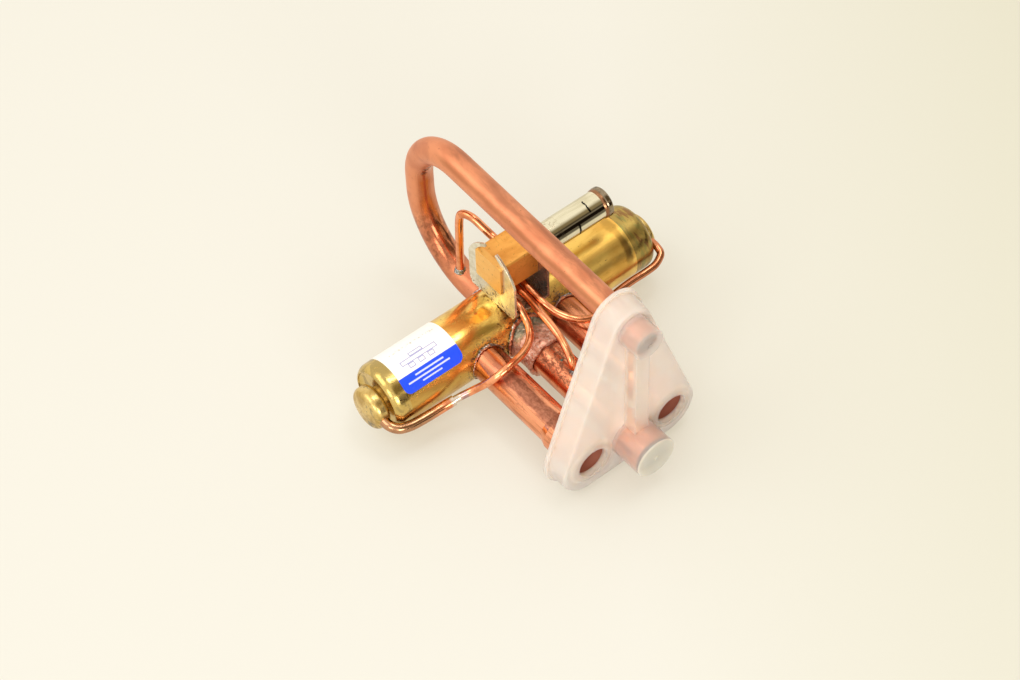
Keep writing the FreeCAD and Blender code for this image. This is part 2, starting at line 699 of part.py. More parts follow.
def make_slide():
    """Main slide: a moulded cup that joins two neighbouring ports on the seat."""
    lap = size("slide_lap")
    pocket_radius = size("seat_port_diameter") / 2
    pocket_half = size("port_pitch") / 2
    lip_half = pocket_half + pocket_radius + lap + size("slide_wall")
    lip_width = pocket_radius + lap + 0.4
    wall = size("slide_wall")
    depth = size("seat_face") + 3.4
    face = -size("seat_face") + size("slide_gap")
    middle = shuttle_offset()

    def oval(name, radius, start, height):
        ends = [rod(name + "_a", radius, height, (middle - pocket_half, start, 0), Y_AXIS),
                rod(name + "_b", radius, height, (middle + pocket_half, start, 0), Y_AXIS),
                block(name + "_c", (pocket_half * 2, height, radius * 2),
                      (middle - pocket_half, start, -radius))]
        return fuse(name, ends)

    lip = block("slide_lip", (lip_half * 2, size("slide_flange"), lip_width * 2),
                (middle - lip_half, face, -lip_width))
    dome = oval("slide_dome", pocket_radius + wall - 0.5, face, depth)
    pocket = oval("slide_pocket", pocket_radius - 0.5, face - 1, depth - wall + 1)
    finish(cut("main_slide", fuse("slide_solid", [lip, dome]), pocket), "main_slide")


def make_carrier():
    """Slide carrier: a steel strip with a window for the slide and a foot at each piston."""
    middle = shuttle_offset()
    sheet_size = size("carrier_thickness")
    half = piston_inner
    gap = size("slide_gap")
    face = -size("seat_face") + gap + size("slide_flange") + 0.25
    width = size("carrier_width")
    strip = block("carrier_strip", (half * 2, sheet_size, width), (middle - half, face, -width / 2))
    radius = size("seat_port_diameter") / 2 + size("slide_wall") - 0.5 + 0.2
    pitch = size("port_pitch") / 2
    window = [
        rod("window_a", radius, sheet_size + 2, (middle - pitch, face - 1, 0), Y_AXIS),
        rod("window_b", radius, sheet_size + 2, (middle + pitch, face - 1, 0), Y_AXIS),
        block("window_c", (pitch * 2, sheet_size + 2, radius * 2), (middle - pitch, face - 1, -radius)),
    ]
    relief = size("seat_port_diameter") / 2
    for index, side in enumerate((-1, 1)):
        window.append(rod("relief" + str(index), relief * 0.8, sheet_size + 2,
                          (middle + side * (half * 0.76), face - 1, 0), Y_AXIS))
    foot_height = size("carrier_foot")
    feet = []
    for index, start in enumerate((middle - half, middle + half - sheet_size)):
        feet.append(block("foot" + str(index), (sheet_size, foot_height, width),
                          (start, face, -width / 2)))
    solid = fuse("carrier_solid", [strip] + feet)
    holes = screw_holes("carrier_holes", middle - half - 1, half * 2 + 2)
    finish(cut("slide_carrier", solid, fuse("carrier_cuts", window + holes)), "slide_carrier")


def screw_places():
    """Screw centres of a piston, in the middle of the carrier's feet."""
    half = size("screw_spacing") / 2
    return [(size("piston_screw_rise"), -half), (size("piston_screw_rise"), half)]


def screw_holes(name, start, length):
    holes = []
    for index, (rise, across) in enumerate(screw_places()):
        holes.append(rod(name + str(index), size("screw_diameter") / 2, length,
                         (start, rise, across), X_AXIS))
    return holes


def make_piston(side, name):
    """Piston: two steel plates with a soft cup between them, screwed to the carrier."""
    middle = shuttle_offset()
    plate = size("piston_plate")
    radius = size("piston_inner_diameter") / 2
    inner_face = piston_inner
    cup_start = inner_face + plate
    cup = size("seal_thickness")
    cup_end = cup_start + cup
    seal_radius = bore_radius - size("seal_gap")

    def disc(label, start, thickness, disc_radius):
        low = middle + side * start if side > 0 else middle - start - thickness
        return rod(label, disc_radius, thickness, (low, 0, 0), X_AXIS)

    reach = piston_outer + 1
    start = middle + inner_face - 1 if side > 0 else middle - reach
    span = reach - inner_face + 1
    plates = fuse(name + "_plate_pair", [disc(name + "_inner", inner_face, plate, radius),
                                     disc(name + "_outer", cup_end, plate, radius - 1.6)])
    holes = fuse(name + "_screw_cut", screw_holes(name + "_hole", start, span))
    finish(cut(name + "_plates_cut", plates, holes), name + "_plates")
    lip = size("seal_lip")
    outer = disc(name + "_cup", cup_start, cup + lip, seal_radius)
    recess = disc(name + "_recess", cup_end, lip + 1, radius - 0.8)
    cup_holes = screw_holes(name + "_cup_hole", start, span)
    finish(cut(name + "_seal_cut", outer, fuse(name + "_seal_cuts", [recess] + cup_holes)),
           name + "_seal")
    bolts = []
    for index, (rise, across) in enumerate(screw_places()):
        shank_start = inner_face - size("carrier_thickness") - 0.8
        shank_end = cup_end + plate
        length = shank_end - shank_start
        low = middle + shank_start if side > 0 else middle - shank_end
        head_low = middle + shank_end if side > 0 else middle - shank_end - size("screw_head_height")
        shank = rod(name + "_shank" + str(index), size("screw_diameter") / 2, length,
                    (low, rise, across), X_AXIS)
        head = rod(name + "_head" + str(index), size("screw_head_diameter") / 2,
                   size("screw_head_height"), (head_low, rise, across), X_AXIS)
        bolts.append(fuse(name + "_screw" + str(index), [shank, head]))
    screws = document.addObject("Part::Compound", name + "_screw_pair")
    screws.Links = bolts
    finish(screws, name + "_screws")


def make_bracket():
    """Pilot bracket: a folded steel sheet with two claws in front and a plate behind."""
    sheet_size = size("bracket_thickness")
    foot_z = barrel_radius
    body = new_body("pilot_bracket")
    half = size("bracket_width") / 2
    claw = size("bracket_claw_width") / 2
    corner = size("bracket_shoulder")
    top = foot_z + size("bracket_claw_height")
    block_half = size("pilot_block_width") / 2 + 0.05
    middle = size("pilot_offset")
    block_low = pilot_block_low() - 0.05
    block_top = pilot_block_low() + size("pilot_block_height")
    sketch = new_sketch(body, "YZ_Plane", "front_outline")
    waist = foot_z + size("bracket_claw_height") * 0.62
    draw_outline(sketch, [
        (-half, foot_z),
        (half, foot_z),
        (claw, foot_z + corner),
        (claw, waist),
        (middle + 2.6, top, claw * 1.35, 1),
        (middle + 2.2, top - 1.0),
        (middle + block_half, block_top - 0.6, claw * 1.2, -1),
        (middle + block_half, block_low),
        (middle - block_half, block_low),
        (middle - block_half, block_top - 0.6),
        (middle - 2.8, top - 1.0, claw * 1.2, -1),
        (middle - 3.4, top, 1.2, 1),
        (-claw, waist, claw * 1.35, 1),
        (-claw, foot_z + corner),
    ])
    front = pad(body, sketch, sheet_size, backwards=True)
    sketch.AttachmentOffset = FreeCAD.Placement(
        Vector(0, 0, -num("bracket_front")), FreeCAD.Rotation())
    sketch.setExpression("AttachmentOffset.Base.z", (-size("bracket_front")).text)
    foot = new_sketch(body, "YZ_Plane", "foot_outline")
    draw_outline(foot, [
        (-half, foot_z),
        (half, foot_z),
        (half, foot_z + sheet_size),
        (-half, foot_z + sheet_size),
    ])
    foot.AttachmentOffset = FreeCAD.Placement(
        Vector(0, 0, -num("bracket_front")), FreeCAD.Rotation())
    foot.setExpression("AttachmentOffset.Base.z", (-size("bracket_front")).text)
    pad(body, foot, size("bracket_front") + size("bracket_rear"))
    rear = new_sketch(body, "YZ_Plane", "rear_outline")
    rear_top = foot_z + size("bracket_rear_height")
    draw_outline(rear, [
        (-half, foot_z),
        (half, foot_z),
        (half, rear_top - 4),
        (half - 4, rear_top, 4, 1),
        (-half + 4, rear_top),
        (-half, rear_top - 4, 4, 1),
    ])
    draw_circle(rear, (middle, size("pilot_height")), spigot_radius() + 0.05)
    rear.AttachmentOffset = FreeCAD.Placement(
        Vector(0, 0, num("bracket_rear")), FreeCAD.Rotation())
    rear.setExpression("AttachmentOffset.Base.z", size("bracket_rear").text)
    pad(body, rear, sheet_size)
    finish(body, "pilot_bracket")


def pilot_block_low():
    return size("pilot_height") + size("pilot_block_rise") - size("pilot_block_height") / 2


def make_pilot_block():
    """Pilot block: brass bar with a long bore, a spigot for the sleeve and a seat hole."""
    width = size("pilot_block_width")
    height = size("pilot_block_height")
    nose = size("pilot_block_nose")
    rear = size("bracket_rear")
    low = pilot_block_low()
    centre = (size("pilot_offset"), size("pilot_height"))
    bar = block("block_bar", (nose + rear, width, height), (-nose, centre[0] - width / 2, low))
    edges = document.addObject("Part::Chamfer", "block_chamfer")
    edges.Base = bar
    document.recompute()
    along_x = [index + 1 for index, edge in enumerate(bar.Shape.Edges)
               if abs(edge.tangentAt(edge.FirstParameter).x) > 0.9]
    edges.Edges = [(index, 0.45, 0.45) for index in along_x]
    spigot = rod("block_spigot", spigot_radius(), size("spigot_length"),
                 (rear, centre[0], centre[1]), X_AXIS)
    bore_end = size("pilot_bore_end")
    bore = rod("block_bore", size("pilot_bore_diameter") / 2,
               bore_end + rear + size("spigot_length") + 1, (-bore_end, centre[0], centre[1]), X_AXIS)
    seat = rod("block_seat_hole", size("pilot_seat_diameter") / 2,
               centre[1] - low + 1, (size("pilot_seat_centre"), centre[0], low - 1), Z_AXIS)
    feed = document.addObject("Part::Feature", "block_feed_hole")
    mouth = Vector(*FEED_ROUTE[0])
    inward = Vector(mouth.x, centre[0].number, centre[1].number) - mouth
    passage = Part.makeCylinder(num("feed_bore") / 2, inward.Length, mouth, inward)
    feed.Shape = capillary_outside(FEED_ROUTE, "feed_diameter").fuse(passage)
    solid = fuse("block_solid", [edges, spigot])
    finish(cut("pilot_block", solid, fuse("block_cuts", [bore, seat, feed])), "pilot_block")


def make_pilot_sleeve():
    """Stainless sleeve over the block's spigot."""
    start = size("bracket_rear") + size("bracket_thickness")
    end = size("pilot_sleeve_end")
    outer = size("pilot_sleeve_diameter") / 2
    inner = outer - size("pilot_sleeve_wall")
    points = [
        (start, inner),
        (start, outer - 0.3),
        (start + 0.3, outer, 0.3, -1),
        (end, outer),
        (end, inner),
    ]
    place_on_pilot_axis(turned("pilot_sleeve", "XY_Plane", "H_Axis", points))


def spigot_radius():
    return size("pilot_sleeve_diameter") / 2 - size("pilot_sleeve_wall")


def place_on_pilot_axis(body):
    """Move a turned piece from the barrel axis to the pilot axis."""
    over = shift_y + size("pilot_offset")
    up = shift_z + size("pilot_height")
    body.Placement.Base = Vector(0, over.number, up.number)
    body.setExpression("Placement.Base.y", over.text)
    body.setExpression("Placement.Base.z", up.text)


def make_core():
    """Fixed core with its flange, the copper ring beside it and a blind coil screw hole."""
    inner = size("pilot_sleeve_diameter") / 2 - size("pilot_sleeve_wall")
    flange = size("core_flange_diameter") / 2
    start = size("pilot_sleeve_end")
    top = start + size("core_flange_length")
    hole = size("core_thread_diameter") / 2
    depth = top - size("core_thread_depth")
    outer = size("pilot_sleeve_diameter") / 2
    braze_top = outer + size("core_braze_height")
    points = [
        (start - size("core_length"), 0),
        (start - size("core_length"), inner - 0.6),
        (start - size("core_length") + 0.6, inner),
        (start, inner),
        (start, braze_top),
        (start + 0.4, flange),
        (top - 0.9, flange),
        (top, flange - 0.9, 0.9, -1),
        (top, hole + 0.5),
        (top - 0.5, hole),
        (depth, hole),
        (depth - 1.2, 0),
    ]
    place_on_pilot_axis(turned("fixed_core", "XY_Plane", "H_Axis", points))
    width = size("core_braze_width")
    ring = [
        (start - width, outer),
        (start - width / 2, braze_top),
        (start, braze_top),
        (start, outer),
    ]
    place_on_pilot_axis(turned("core_braze", "XY_Plane", "H_Axis", ring))


def plunger_face():
    """Far end of the plunger at rest, one stroke from the core."""
    return size("pilot_sleeve_end") - size("core_length") - size("pilot_stroke") - 0.2


def make_plunger():
    """Steel plunger with a spring pocket and a stem that carries the pilot slide."""
    outer = (size("pilot_sleeve_diameter") / 2 - size("pilot_sleeve_wall")
             - size("plunger_clearance"))
    end = plunger_face()
    start = end - size("plunger_length")
    pocket = size("return_spring_diameter") / 2 + size("return_spring_wire") / 2 + 0.3
    stem = size("stem_diameter") / 2
    nose = -size("pilot_bore_end") + 0.8
    points = [
        (nose, 0),
        (nose, stem - 0.4),
        (nose + 0.4, stem),
        (start, stem),
        (start, outer - 0.5),
        (start + 0.5, outer),
        (end - 0.5, outer),
        (end, outer - 0.5),
        (end, pocket),
        (end - size("return_spring_pocket"), pocket),
        (end - size("return_spring_pocket"), 0),
    ]
    turned_body = turned("plunger_turned", "XY_Plane", "H_Axis", points, keep=False)
    length = size("pilot_slide_length") + 0.3
    width = size("stem_diameter") + 2
    seat_x = slide_middle()
    slot = block("plunger_slot", (length, width, size("stem_diameter") / 2 + 1.4),
                 (seat_x - length / 2, -width / 2, -size("stem_diameter") / 2 - 1))
    item = cut("plunger", turned_body, slot)
    finish(item, "plunger")
    place_on_pilot_axis(item)


def slide_middle():
    """Middle of the pilot slide at rest: over the left pair of pilot ports."""
    return size("pilot_seat_centre") - size("pilot_stroke") / 2


def make_pilot_slide():
    """Pilot slide: a small moulded block with a pocket that joins two pilot ports."""
    length = size("pilot_slide_length")
    width = size("pilot_slide_width")
    drop = size("pilot_seat_drop") - 0.1
    height = drop + 0.3
    low = (slide_middle() - length / 2, size("pilot_offset") - width / 2,
           size("pilot_height") - drop)
    solid = block("pilot_slide_solid", (length, width, height), low)
    pocket_length = size("pilot_stroke") + size("pilot_port_diameter")
    pocket = block("pilot_slide_pocket", (pocket_length, size("pilot_port_diameter") + 0.4, 1.6),
                   (slide_middle() - pocket_length / 2,
                    size("pilot_offset") - (size("pilot_port_diameter") + 0.4) / 2,
                    size("pilot_height") - drop - 0.8))
    finish(cut("pilot_slide", solid, pocket), "pilot_slide")


def make_pilot_seat():
    """Pilot seat: a brass disc with three small ports that take the capillaries."""
    low = pilot_block_low()
    top = size("pilot_height") - size("pilot_seat_drop")
    disc = rod("seat_disc", size("pilot_seat_diameter") / 2, top - low,
               (size("pilot_seat_centre"), size("pilot_offset"), low), Z_AXIS)
    holes = []
    for index, side in enumerate((-1, 0, 1)):
        place = size("pilot_seat_centre") + side * size("pilot_stroke")
        holes.append(rod("pilot_port" + str(index), size("pilot_port_diameter") / 2, top - low + 2,
                         (place, size("pilot_offset"), low - 1), Z_AXIS))
        holes.append(rod("pilot_socket" + str(index), size("capillary_diameter") / 2,
                         (top - low) / 2 + 1, (place, size("pilot_offset"), low - 1), Z_AXIS))
    finish(cut("pilot_seat", disc, fuse("pilot_seat_cuts", holes)), "pilot_seat")


def make_spring():
    """Return spring in the plunger's pocket, drawn as long as it is with the stroke used up."""
    start = plunger_face().number - num("return_spring_pocket") + num("return_spring_wire") / 2 + 0.1
    # It moves with the plunger, so it stops one stroke short of the core.
    end = (num("pilot_sleeve_end") - num("core_length") - num("return_spring_wire") / 2
           - num("pilot_stroke") - 0.1)
    turns = num("return_spring_turns")
    radius = num("return_spring_diameter") / 2
    pitch = (end - start) / turns
    helix = Part.makeHelix(pitch, end - start, radius)
    profile = Part.Wire([Part.Circle(Vector(radius, 0, 0), Y_AXIS,
                                     num("return_spring_wire") / 2).toShape()])
    coil = Part.Wire(helix).makePipeShell([profile], True, True)
    place = FreeCAD.Placement(Vector(start, num("pilot_offset"), num("pilot_height")),
                              FreeCAD.Rotation(Z_AXIS, X_AXIS))
    coil.transformShape(place.toMatrix(), True)
    shaped("return_spring", coil)


def capillary_outside(points, diameter):
    """Solid rod as thick as a capillary's outside, for the hole that takes it."""
    spine = rounded_path(points, "hole")
    return swept(spine, num(diameter) / 2, Vector(*points[1]) - Vector(*points[0]))


def make_capillary(label, points, diameter, bore):
    spine = rounded_path(points, label)
    direction = Vector(*points[1]) - Vector(*points[0])
    outer = swept(spine, num(diameter) / 2, direction)
    inner = swept(spine, num(bore) / 2, direction)
    tube = outer.cut(inner)
    area = math.pi * (num(diameter) ** 2 - num(bore) ** 2) / 4
    print(label, "volume over section times length", round(tube.Volume / (area * spine.Length), 3))
    shaped(label, tube)


def make_suction_tube():
    """Middle port tube, with the small hole for its capillary."""
    body = port_tube("suction_tube_turned", size("suction_length"), keep=False)
    hole = document.addObject("Part::Feature", "suction_capillary_hole")
    hole.Shape = capillary_outside(SUCTION_ROUTE, "capillary_diameter")
    finish(cut("suction_tube", body, hole), "suction_tube")
    solid = Part.makeCylinder(port_radius.number, num("suction_length"), Vector(), -Y_AXIS)
    make_bead("suction_capillary_solder", SUCTION_ROUTE, "capillary_diameter",
              port_radius.number, solid)


def make_capillaries():
    make_capillary("discharge_capillary", FEED_ROUTE, "feed_diameter", "feed_bore")
    for label, route in (("left_capillary", LEFT_ROUTE), ("suction_capillary", SUCTION_ROUTE),
                         ("right_capillary", RIGHT_ROUTE)):
        make_capillary(label, route, "capillary_diameter", "capillary_bore")
    make_capillary("left_plug_tube", LEFT_PLUG_ROUTE, "plug_tube_diameter", "capillary_bore")


def make_bead(label, route, diameter, top, keep_out):
    """Solder bead where a capillary enters the top of a larger tube."""
    x, y, z = route[-1]
    radius = num(diameter) / 2
    leg = num("solder_bead")
    foot = Vector(x, y, top - leg)
    cone = Part.makeCone(radius + leg, radius + 0.1, leg * 2.2, foot, Z_AXIS)
    shaped(label, cone.cut([capillary_outside(route, diameter), keep_out]))


def make_label():
    """Paper label wrapped round the barrel's left half."""
    inner = barrel_radius.number
    outer = inner + num("label_thickness")
    length = num("label_length")
    corner = num("label_corner")
    wrap = math.radians(num("label_wrap_angle"))
    sheet_half = Part.makeCylinder(outer, length, Vector(), Z_AXIS, num("label_wrap_angle"))
    ring = sheet_half.cut(Part.makeCylinder(inner, length))
    tools = []
    for angle, turn in ((0.0, 1), (wrap, -1)):
        centre_angle = angle + turn * corner / outer
        outward = Vector(math.cos(centre_angle), math.sin(centre_angle), 0)
        across = Vector(-math.sin(centre_angle), math.cos(centre_angle), 0) * -turn
        for height, up in ((0.0, -1), (length, 1)):
            middle = outward * (inner * 0.8) + Vector(0, 0, height - up * corner)
            square = Part.makePolygon([
                middle,
                middle + across * (corner * 2),
                middle + across * (corner * 2) + Z_AXIS * (up * corner * 2),
                middle + Z_AXIS * (up * corner * 2),
                middle,
            ])
            depth = inner * 0.4
            prism = Part.Face(square).extrude(outward * depth)
            tools.append(prism.cut(Part.makeCylinder(corner, depth, middle, outward)))
    ring = ring.cut(tools)
    # The cylinder's axis goes to the barrel's axis; the sheet's lower edge lies at the front.
    matrix = FreeCAD.Matrix()
    start = math.pi - math.radians(num("label_front_angle"))
    y_part = Vector(0, math.cos(start), math.sin(start))
    side = Vector(0, math.sin(start), -math.cos(start))
    for row, (a, b, c) in enumerate(zip(y_part, side, X_AXIS), start=1):
        setattr(matrix, "A" + str(row) + "1", a)
        setattr(matrix, "A" + str(row) + "2", b)
        setattr(matrix, "A" + str(row) + "3", c)
    matrix.A14 = -barrel_half.number - num("label_past_seam")
    ring.transformShape(matrix)
    shaped("label", ring)


def tangent_outline(top, top_radius, corner, corner_radius, grow, y):
    """Outline of the cap: three arcs joined by their common tangents, in the plane of this y."""
    radius_a = top_radius + grow
    radius_b = corner_radius + grow
    dx = corner[0] - top[0]
    dz = corner[1] - top[1]
    distance = math.hypot(dx, dz)
    along = math.atan2(dz, dx)
    lean = math.acos((radius_a - radius_b) / distance)
    angle = along + lean
    ax = top[0] + radius_a * math.cos(angle)
    az = top[1] + radius_a * math.sin(angle)
    bx = corner[0] + radius_b * math.cos(angle)
    bz = corner[1] + radius_b * math.sin(angle)
    low = corner[1] - radius_b
    mid = (angle - math.pi / 2) / 2
    mx = corner[0] + radius_b * math.cos(mid)
    mz = corner[1] + radius_b * math.sin(mid)

    def point(x, z):
        return Vector(x, y, z)

    return Part.Wire([
        Part.Arc(point(ax, az), point(0, top[1] + radius_a), point(-ax, az)).toShape(),
        Part.makeLine(point(-ax, az), point(-bx, bz)),
        Part.Arc(point(-bx, bz), point(-mx, mz), point(-corner[0], low)).toShape(),
        Part.makeLine(point(-corner[0], low), point(corner[0], low)),
        Part.Arc(point(corner[0], low), point(mx, mz), point(bx, bz)).toShape(),
        Part.makeLine(point(bx, bz), point(ax, az)),
    ])


def make_cap():
    """Moulded cap over the tube ends: a hollow triangle with two bosses and two holes."""
    face = num("port_length") + num("cap_face_gap")
    wall = num("cap_wall")
    rim = face - num("cap_depth")
    fall = math.radians(num("discharge_fall"))
    slope = math.tan(fall)
    top_z = num("discharge_height") - slope * (face + num("discharge_length")) / 2
    corner = (num("port_pitch"), num("cap_corner_radius") - num("cap_base_drop"))
    top = (0.0, top_z)

    def prism(grow_rear, grow_front, start, end):
        wires = [tangent_outline(top, num("cap_top_radius"), corner, num("cap_corner_radius"), grow, -y)
                 for grow, y in ((grow_rear, start), (grow_front, end))]
        return Part.makeLoft(wires, True, True)

    shell = prism(0.4, 0, rim, face)
    front_edges = [edge for edge in shell.Edges
                   if abs(edge.BoundBox.YMin + face) < 0.001 and abs(edge.BoundBox.YMax + face) < 0.001]
    shell = shell.makeFillet(1.0, front_edges)
    flange = prism(num("cap_rim_width"), num("cap_rim_width"), rim, rim + num("cap_rim_thickness"))
    shell = shell.fuse(flange)
    tube = socket_radius.number
    bosses = []
    hollows = [prism(0.4 - wall, -wall, rim - 1, face - wall)]
    # The short boss leans with the discharge tube, so that its hollow stays concentric with it.
    for radius, fit, end, height, lean in (
            (tube, num("cap_fit"), cap_suction_end.number, 0.0, 0.0),
            (discharge_radius.number, num("cap_discharge_fit"),
             num("discharge_length") + num("cap_discharge_gap"), num("discharge_height"), fall)):
        inner = radius + fit
        outer = inner + num("cap_boss_wall")
        along = Vector(0, -math.cos(lean), -math.sin(lean))

        def start(distance):
            return Vector(0, -distance, height - distance * math.tan(lean))

        tip = start(end)
        outside = Part.makeCylinder(outer, (end - face + wall) / math.cos(lean), start(face - wall), along)
        edges = [edge for edge in outside.Edges
                 if hasattr(edge.Curve, "Center") and edge.Curve.Center.distanceToPoint(tip) < 0.01]
        outside = outside.makeFillet(num("cap_boss_fillet"), edges)
        nib = Part.makeCylinder(num("cap_nib_diameter") / 2, num("cap_nib_height"), tip, along)
        bosses.extend([outside, nib])
        hollows.append(Part.makeCylinder(inner, (end - wall - rim) / math.cos(lean), start(rim), along))
    rib_width = num("cap_rib_width")
    rib_end = face + num("cap_rib_height")
    rib = Part.makeBox(rib_width, rib_end - face + 0.1, top_z, Vector(-rib_width / 2, -rib_end, 0))
    rib_hollow = Part.makeBox(rib_width - wall * 2, rib_end - wall - rim, top_z,
                              Vector(-rib_width / 2 + wall, -rib_end + wall, 0))
    for side in (-1, 1):
        place = Vector(side * num("port_pitch"), -face, 0)
        bosses.append(Part.makeCone(num("cap_collar_foot") / 2, num("cap_collar_diameter") / 2,
                                    num("cap_collar_height"), place, -Y_AXIS))
        hollows.append(Part.makeCylinder(num("cap_hole_diameter") / 2,
                                         num("cap_collar_height") + wall * 4,
                                         place + Vector(0, wall * 2, 0), -Y_AXIS))
    solid = shell.fuse(bosses + [rib]).cut(hollows + [rib_hollow]).removeSplitter()
    # Parted into skirt, middle of the face with the bosses, and the two sides with the open holes.
    reach = num("suction_length") * 4
    side = num("port_pitch") / 2
    front = Part.makeBox(reach, reach, reach, Vector(-reach / 2, -face + wall - reach, -reach / 2))
    left = Part.makeBox(reach, reach, reach, Vector(-reach - side, -face + wall - reach, -reach / 2))
    right = Part.makeBox(reach, reach, reach, Vector(side, -face + wall - reach, -reach / 2))
    shaped("protective_cap", solid.common(front).cut([left, right]))
    shaped("cap_left_face", solid.common(left))
    shaped("cap_right_face", solid.common(right))
    shaped("cap_skirt", solid.cut(front))


make_barrel()
for end_side, end_name in ((-1, "left"), (1, "right")):
    make_end(end_side, end_name + "_end")
    make_plug(end_side, end_name + "_end_plug")
pitch_size = size("port_pitch")
port_tube("evaporator_tube", size("port_length"), -pitch_size)
port_tube("condenser_tube", size("port_length"), pitch_size)
make_suction_tube()
make_sleeve()
make_discharge_tube()
solder_saddle("evaporator_solder", port_radius, -pitch_size, -Y_AXIS)
solder_saddle("condenser_solder", port_radius, pitch_size, -Y_AXIS)
solder_saddle("suction_solder", size("sleeve_diameter") / 2, 0, -Y_AXIS)
solder_saddle("discharge_solder", discharge_radius, 0, Y_AXIS)
make_seat()
make_slide()
make_carrier()
for piston_side, piston_name in ((-1, "left_piston"), (1, "right_piston")):
    make_piston(piston_side, piston_name)
make_bracket()
make_pilot_block()
make_pilot_sleeve()
make_core()
make_plunger()
make_pilot_slide()
make_pilot_seat()
make_spring()
make_capillaries()
make_label()
make_cap()

document.recompute()
for item in document.Objects:
    if "Invalid" in item.State or "Error" in item.State:
        raise RuntimeError(item.Name + " did not build: " + str(item.State))
os.makedirs("parts", exist_ok=True)
for item in nodes:
    shape = item.Shape
    if shape.isNull() or not shape.isValid() or shape.Volume < 0.1:
        raise RuntimeError(item.Label + " has no valid shape")
    shape.exportStep(os.path.join("parts", item.Label + ".step"))
print(len(nodes), "nodes")
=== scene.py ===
import math

import bpy
from mathutils import Matrix, Vector


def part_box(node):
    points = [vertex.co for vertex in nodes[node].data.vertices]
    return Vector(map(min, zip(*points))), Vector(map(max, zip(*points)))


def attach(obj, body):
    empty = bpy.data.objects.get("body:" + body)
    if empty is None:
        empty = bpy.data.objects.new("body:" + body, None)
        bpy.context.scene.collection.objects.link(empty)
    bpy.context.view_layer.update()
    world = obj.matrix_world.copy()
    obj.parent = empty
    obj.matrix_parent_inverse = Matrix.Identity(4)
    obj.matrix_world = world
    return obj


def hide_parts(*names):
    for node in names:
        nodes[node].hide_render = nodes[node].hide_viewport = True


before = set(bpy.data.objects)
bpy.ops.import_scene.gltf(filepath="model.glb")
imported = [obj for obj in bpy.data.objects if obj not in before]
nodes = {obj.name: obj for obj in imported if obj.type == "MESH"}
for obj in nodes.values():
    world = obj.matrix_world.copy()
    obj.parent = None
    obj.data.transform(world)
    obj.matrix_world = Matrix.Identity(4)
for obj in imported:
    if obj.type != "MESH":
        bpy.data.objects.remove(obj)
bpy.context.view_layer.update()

for item in bpy.context.selected_objects:
    item.select_set(False)

barrel_low, barrel_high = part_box("barrel")
AXIS_Y = (barrel_low.y + barrel_high.y) / 2
AXIS_Z = (barrel_low.z + barrel_high.z) / 2


def at(x, y, z):
    """A point given in millimetres about the barrel's axis, as a place in the model."""
    return Vector((x / 1000, y / 1000 + AXIS_Y, z / 1000 + AXIS_Z))


def middle(name):
    """The middle of a node's box, in millimetres about the barrel's axis."""
    low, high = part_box(name)
    centre = (low + high) / 2
    return Vector((centre.x, centre.y - AXIS_Y, centre.z - AXIS_Z)) * 1000


PORT_XS = [middle(name).x for name in ("evaporator_tube", "suction_tube", "condenser_tube")]


def shade(code):
    """A colour written as six hexadecimal digits, as the shader wants it."""
    parts = [int(code[i:i + 2], 16) / 255 for i in (0, 2, 4)]
    linear = [p / 12.92 if p <= 0.04045 else ((p + 0.055) / 1.055) ** 2.4 for p in parts]
    return (*linear, 1.0)


class Shading:
    """Adds nodes to one shader tree."""

    def __init__(self, tree):
        self.tree = tree

    def add(self, kind):
        return self.tree.nodes.new(kind)

    def link(self, source, target):
        self.tree.links.new(source, target)

    def put(self, value, target):
        """Gives an input a link, a colour code or a plain value."""
        if isinstance(value, bpy.types.NodeSocket):
            self.link(value, target)
        elif isinstance(value, str):
            target.default_value = shade(value)
        else:
            target.default_value = value

    def split(self, vector):
        node = self.add("ShaderNodeSeparateXYZ")
        self.link(vector, node.inputs[0])
        return node.outputs[0], node.outputs[1], node.outputs[2]

    def calc(self, operation, first, second=0.0, clamp=False):
        node = self.add("ShaderNodeMath")
        node.operation = operation
        node.use_clamp = clamp
        self.put(first, node.inputs[0])
        self.put(second, node.inputs[1])
        return node.outputs[0]

    def plus(self, first, second, clamp=False):
        return self.calc("ADD", first, second, clamp)

    def minus(self, first, second, clamp=False):
        return self.calc("SUBTRACT", first, second, clamp)

    def times(self, first, second):
        return self.calc("MULTIPLY", first, second)

    def larger(self, first, second):
        return self.calc("MAXIMUM", first, second)

    def rise(self, value, low, high, first=0.0, last=1.0, kind="SMOOTHSTEP"):
        """Goes from first to last while value goes from low to high."""
        node = self.add("ShaderNodeMapRange")
        node.interpolation_type = kind
        self.put(value, node.inputs["Value"])
        node.inputs["From Min"].default_value = low
        node.inputs["From Max"].default_value = high
        node.inputs["To Min"].default_value = first
        node.inputs["To Max"].default_value = last
        return node.outputs[0]

    def within(self, value, low, high, soft):
        """1 between low and high, 0 outside, with soft edges."""
        return self.times(self.rise(value, low - soft, low + soft),
                          self.rise(value, high - soft, high + soft, 1.0, 0.0))

    def mix(self, first, second, share):
        node = self.add("ShaderNodeMix")
        node.data_type = "RGBA"
        self.put(first, node.inputs["A"])
        self.put(second, node.inputs["B"])
        self.put(share, node.inputs["Factor"])
        return node.outputs["Result"]

    def tint(self, colour, second, mask, share):
        """The colour with a share of a second one where the mask is 1."""
        return self.mix(colour, second, self.times(mask, share))


# Camera, light and floor

# The camera's place is in millimetres about the barrel's axis.
CAMERA_PLACE = (-334.7, -440.4, 681.4)
CAMERA_AZIMUTH = math.radians(-37.37)
CAMERA_ELEVATION = math.radians(51.461)
CAMERA_ROLL = math.radians(2.305)
CAMERA_LENS = 91.765


def picture_right():
    """The level direction that points to the right of the picture."""
    return Vector((math.cos(CAMERA_AZIMUTH), math.sin(CAMERA_AZIMUTH), 0))


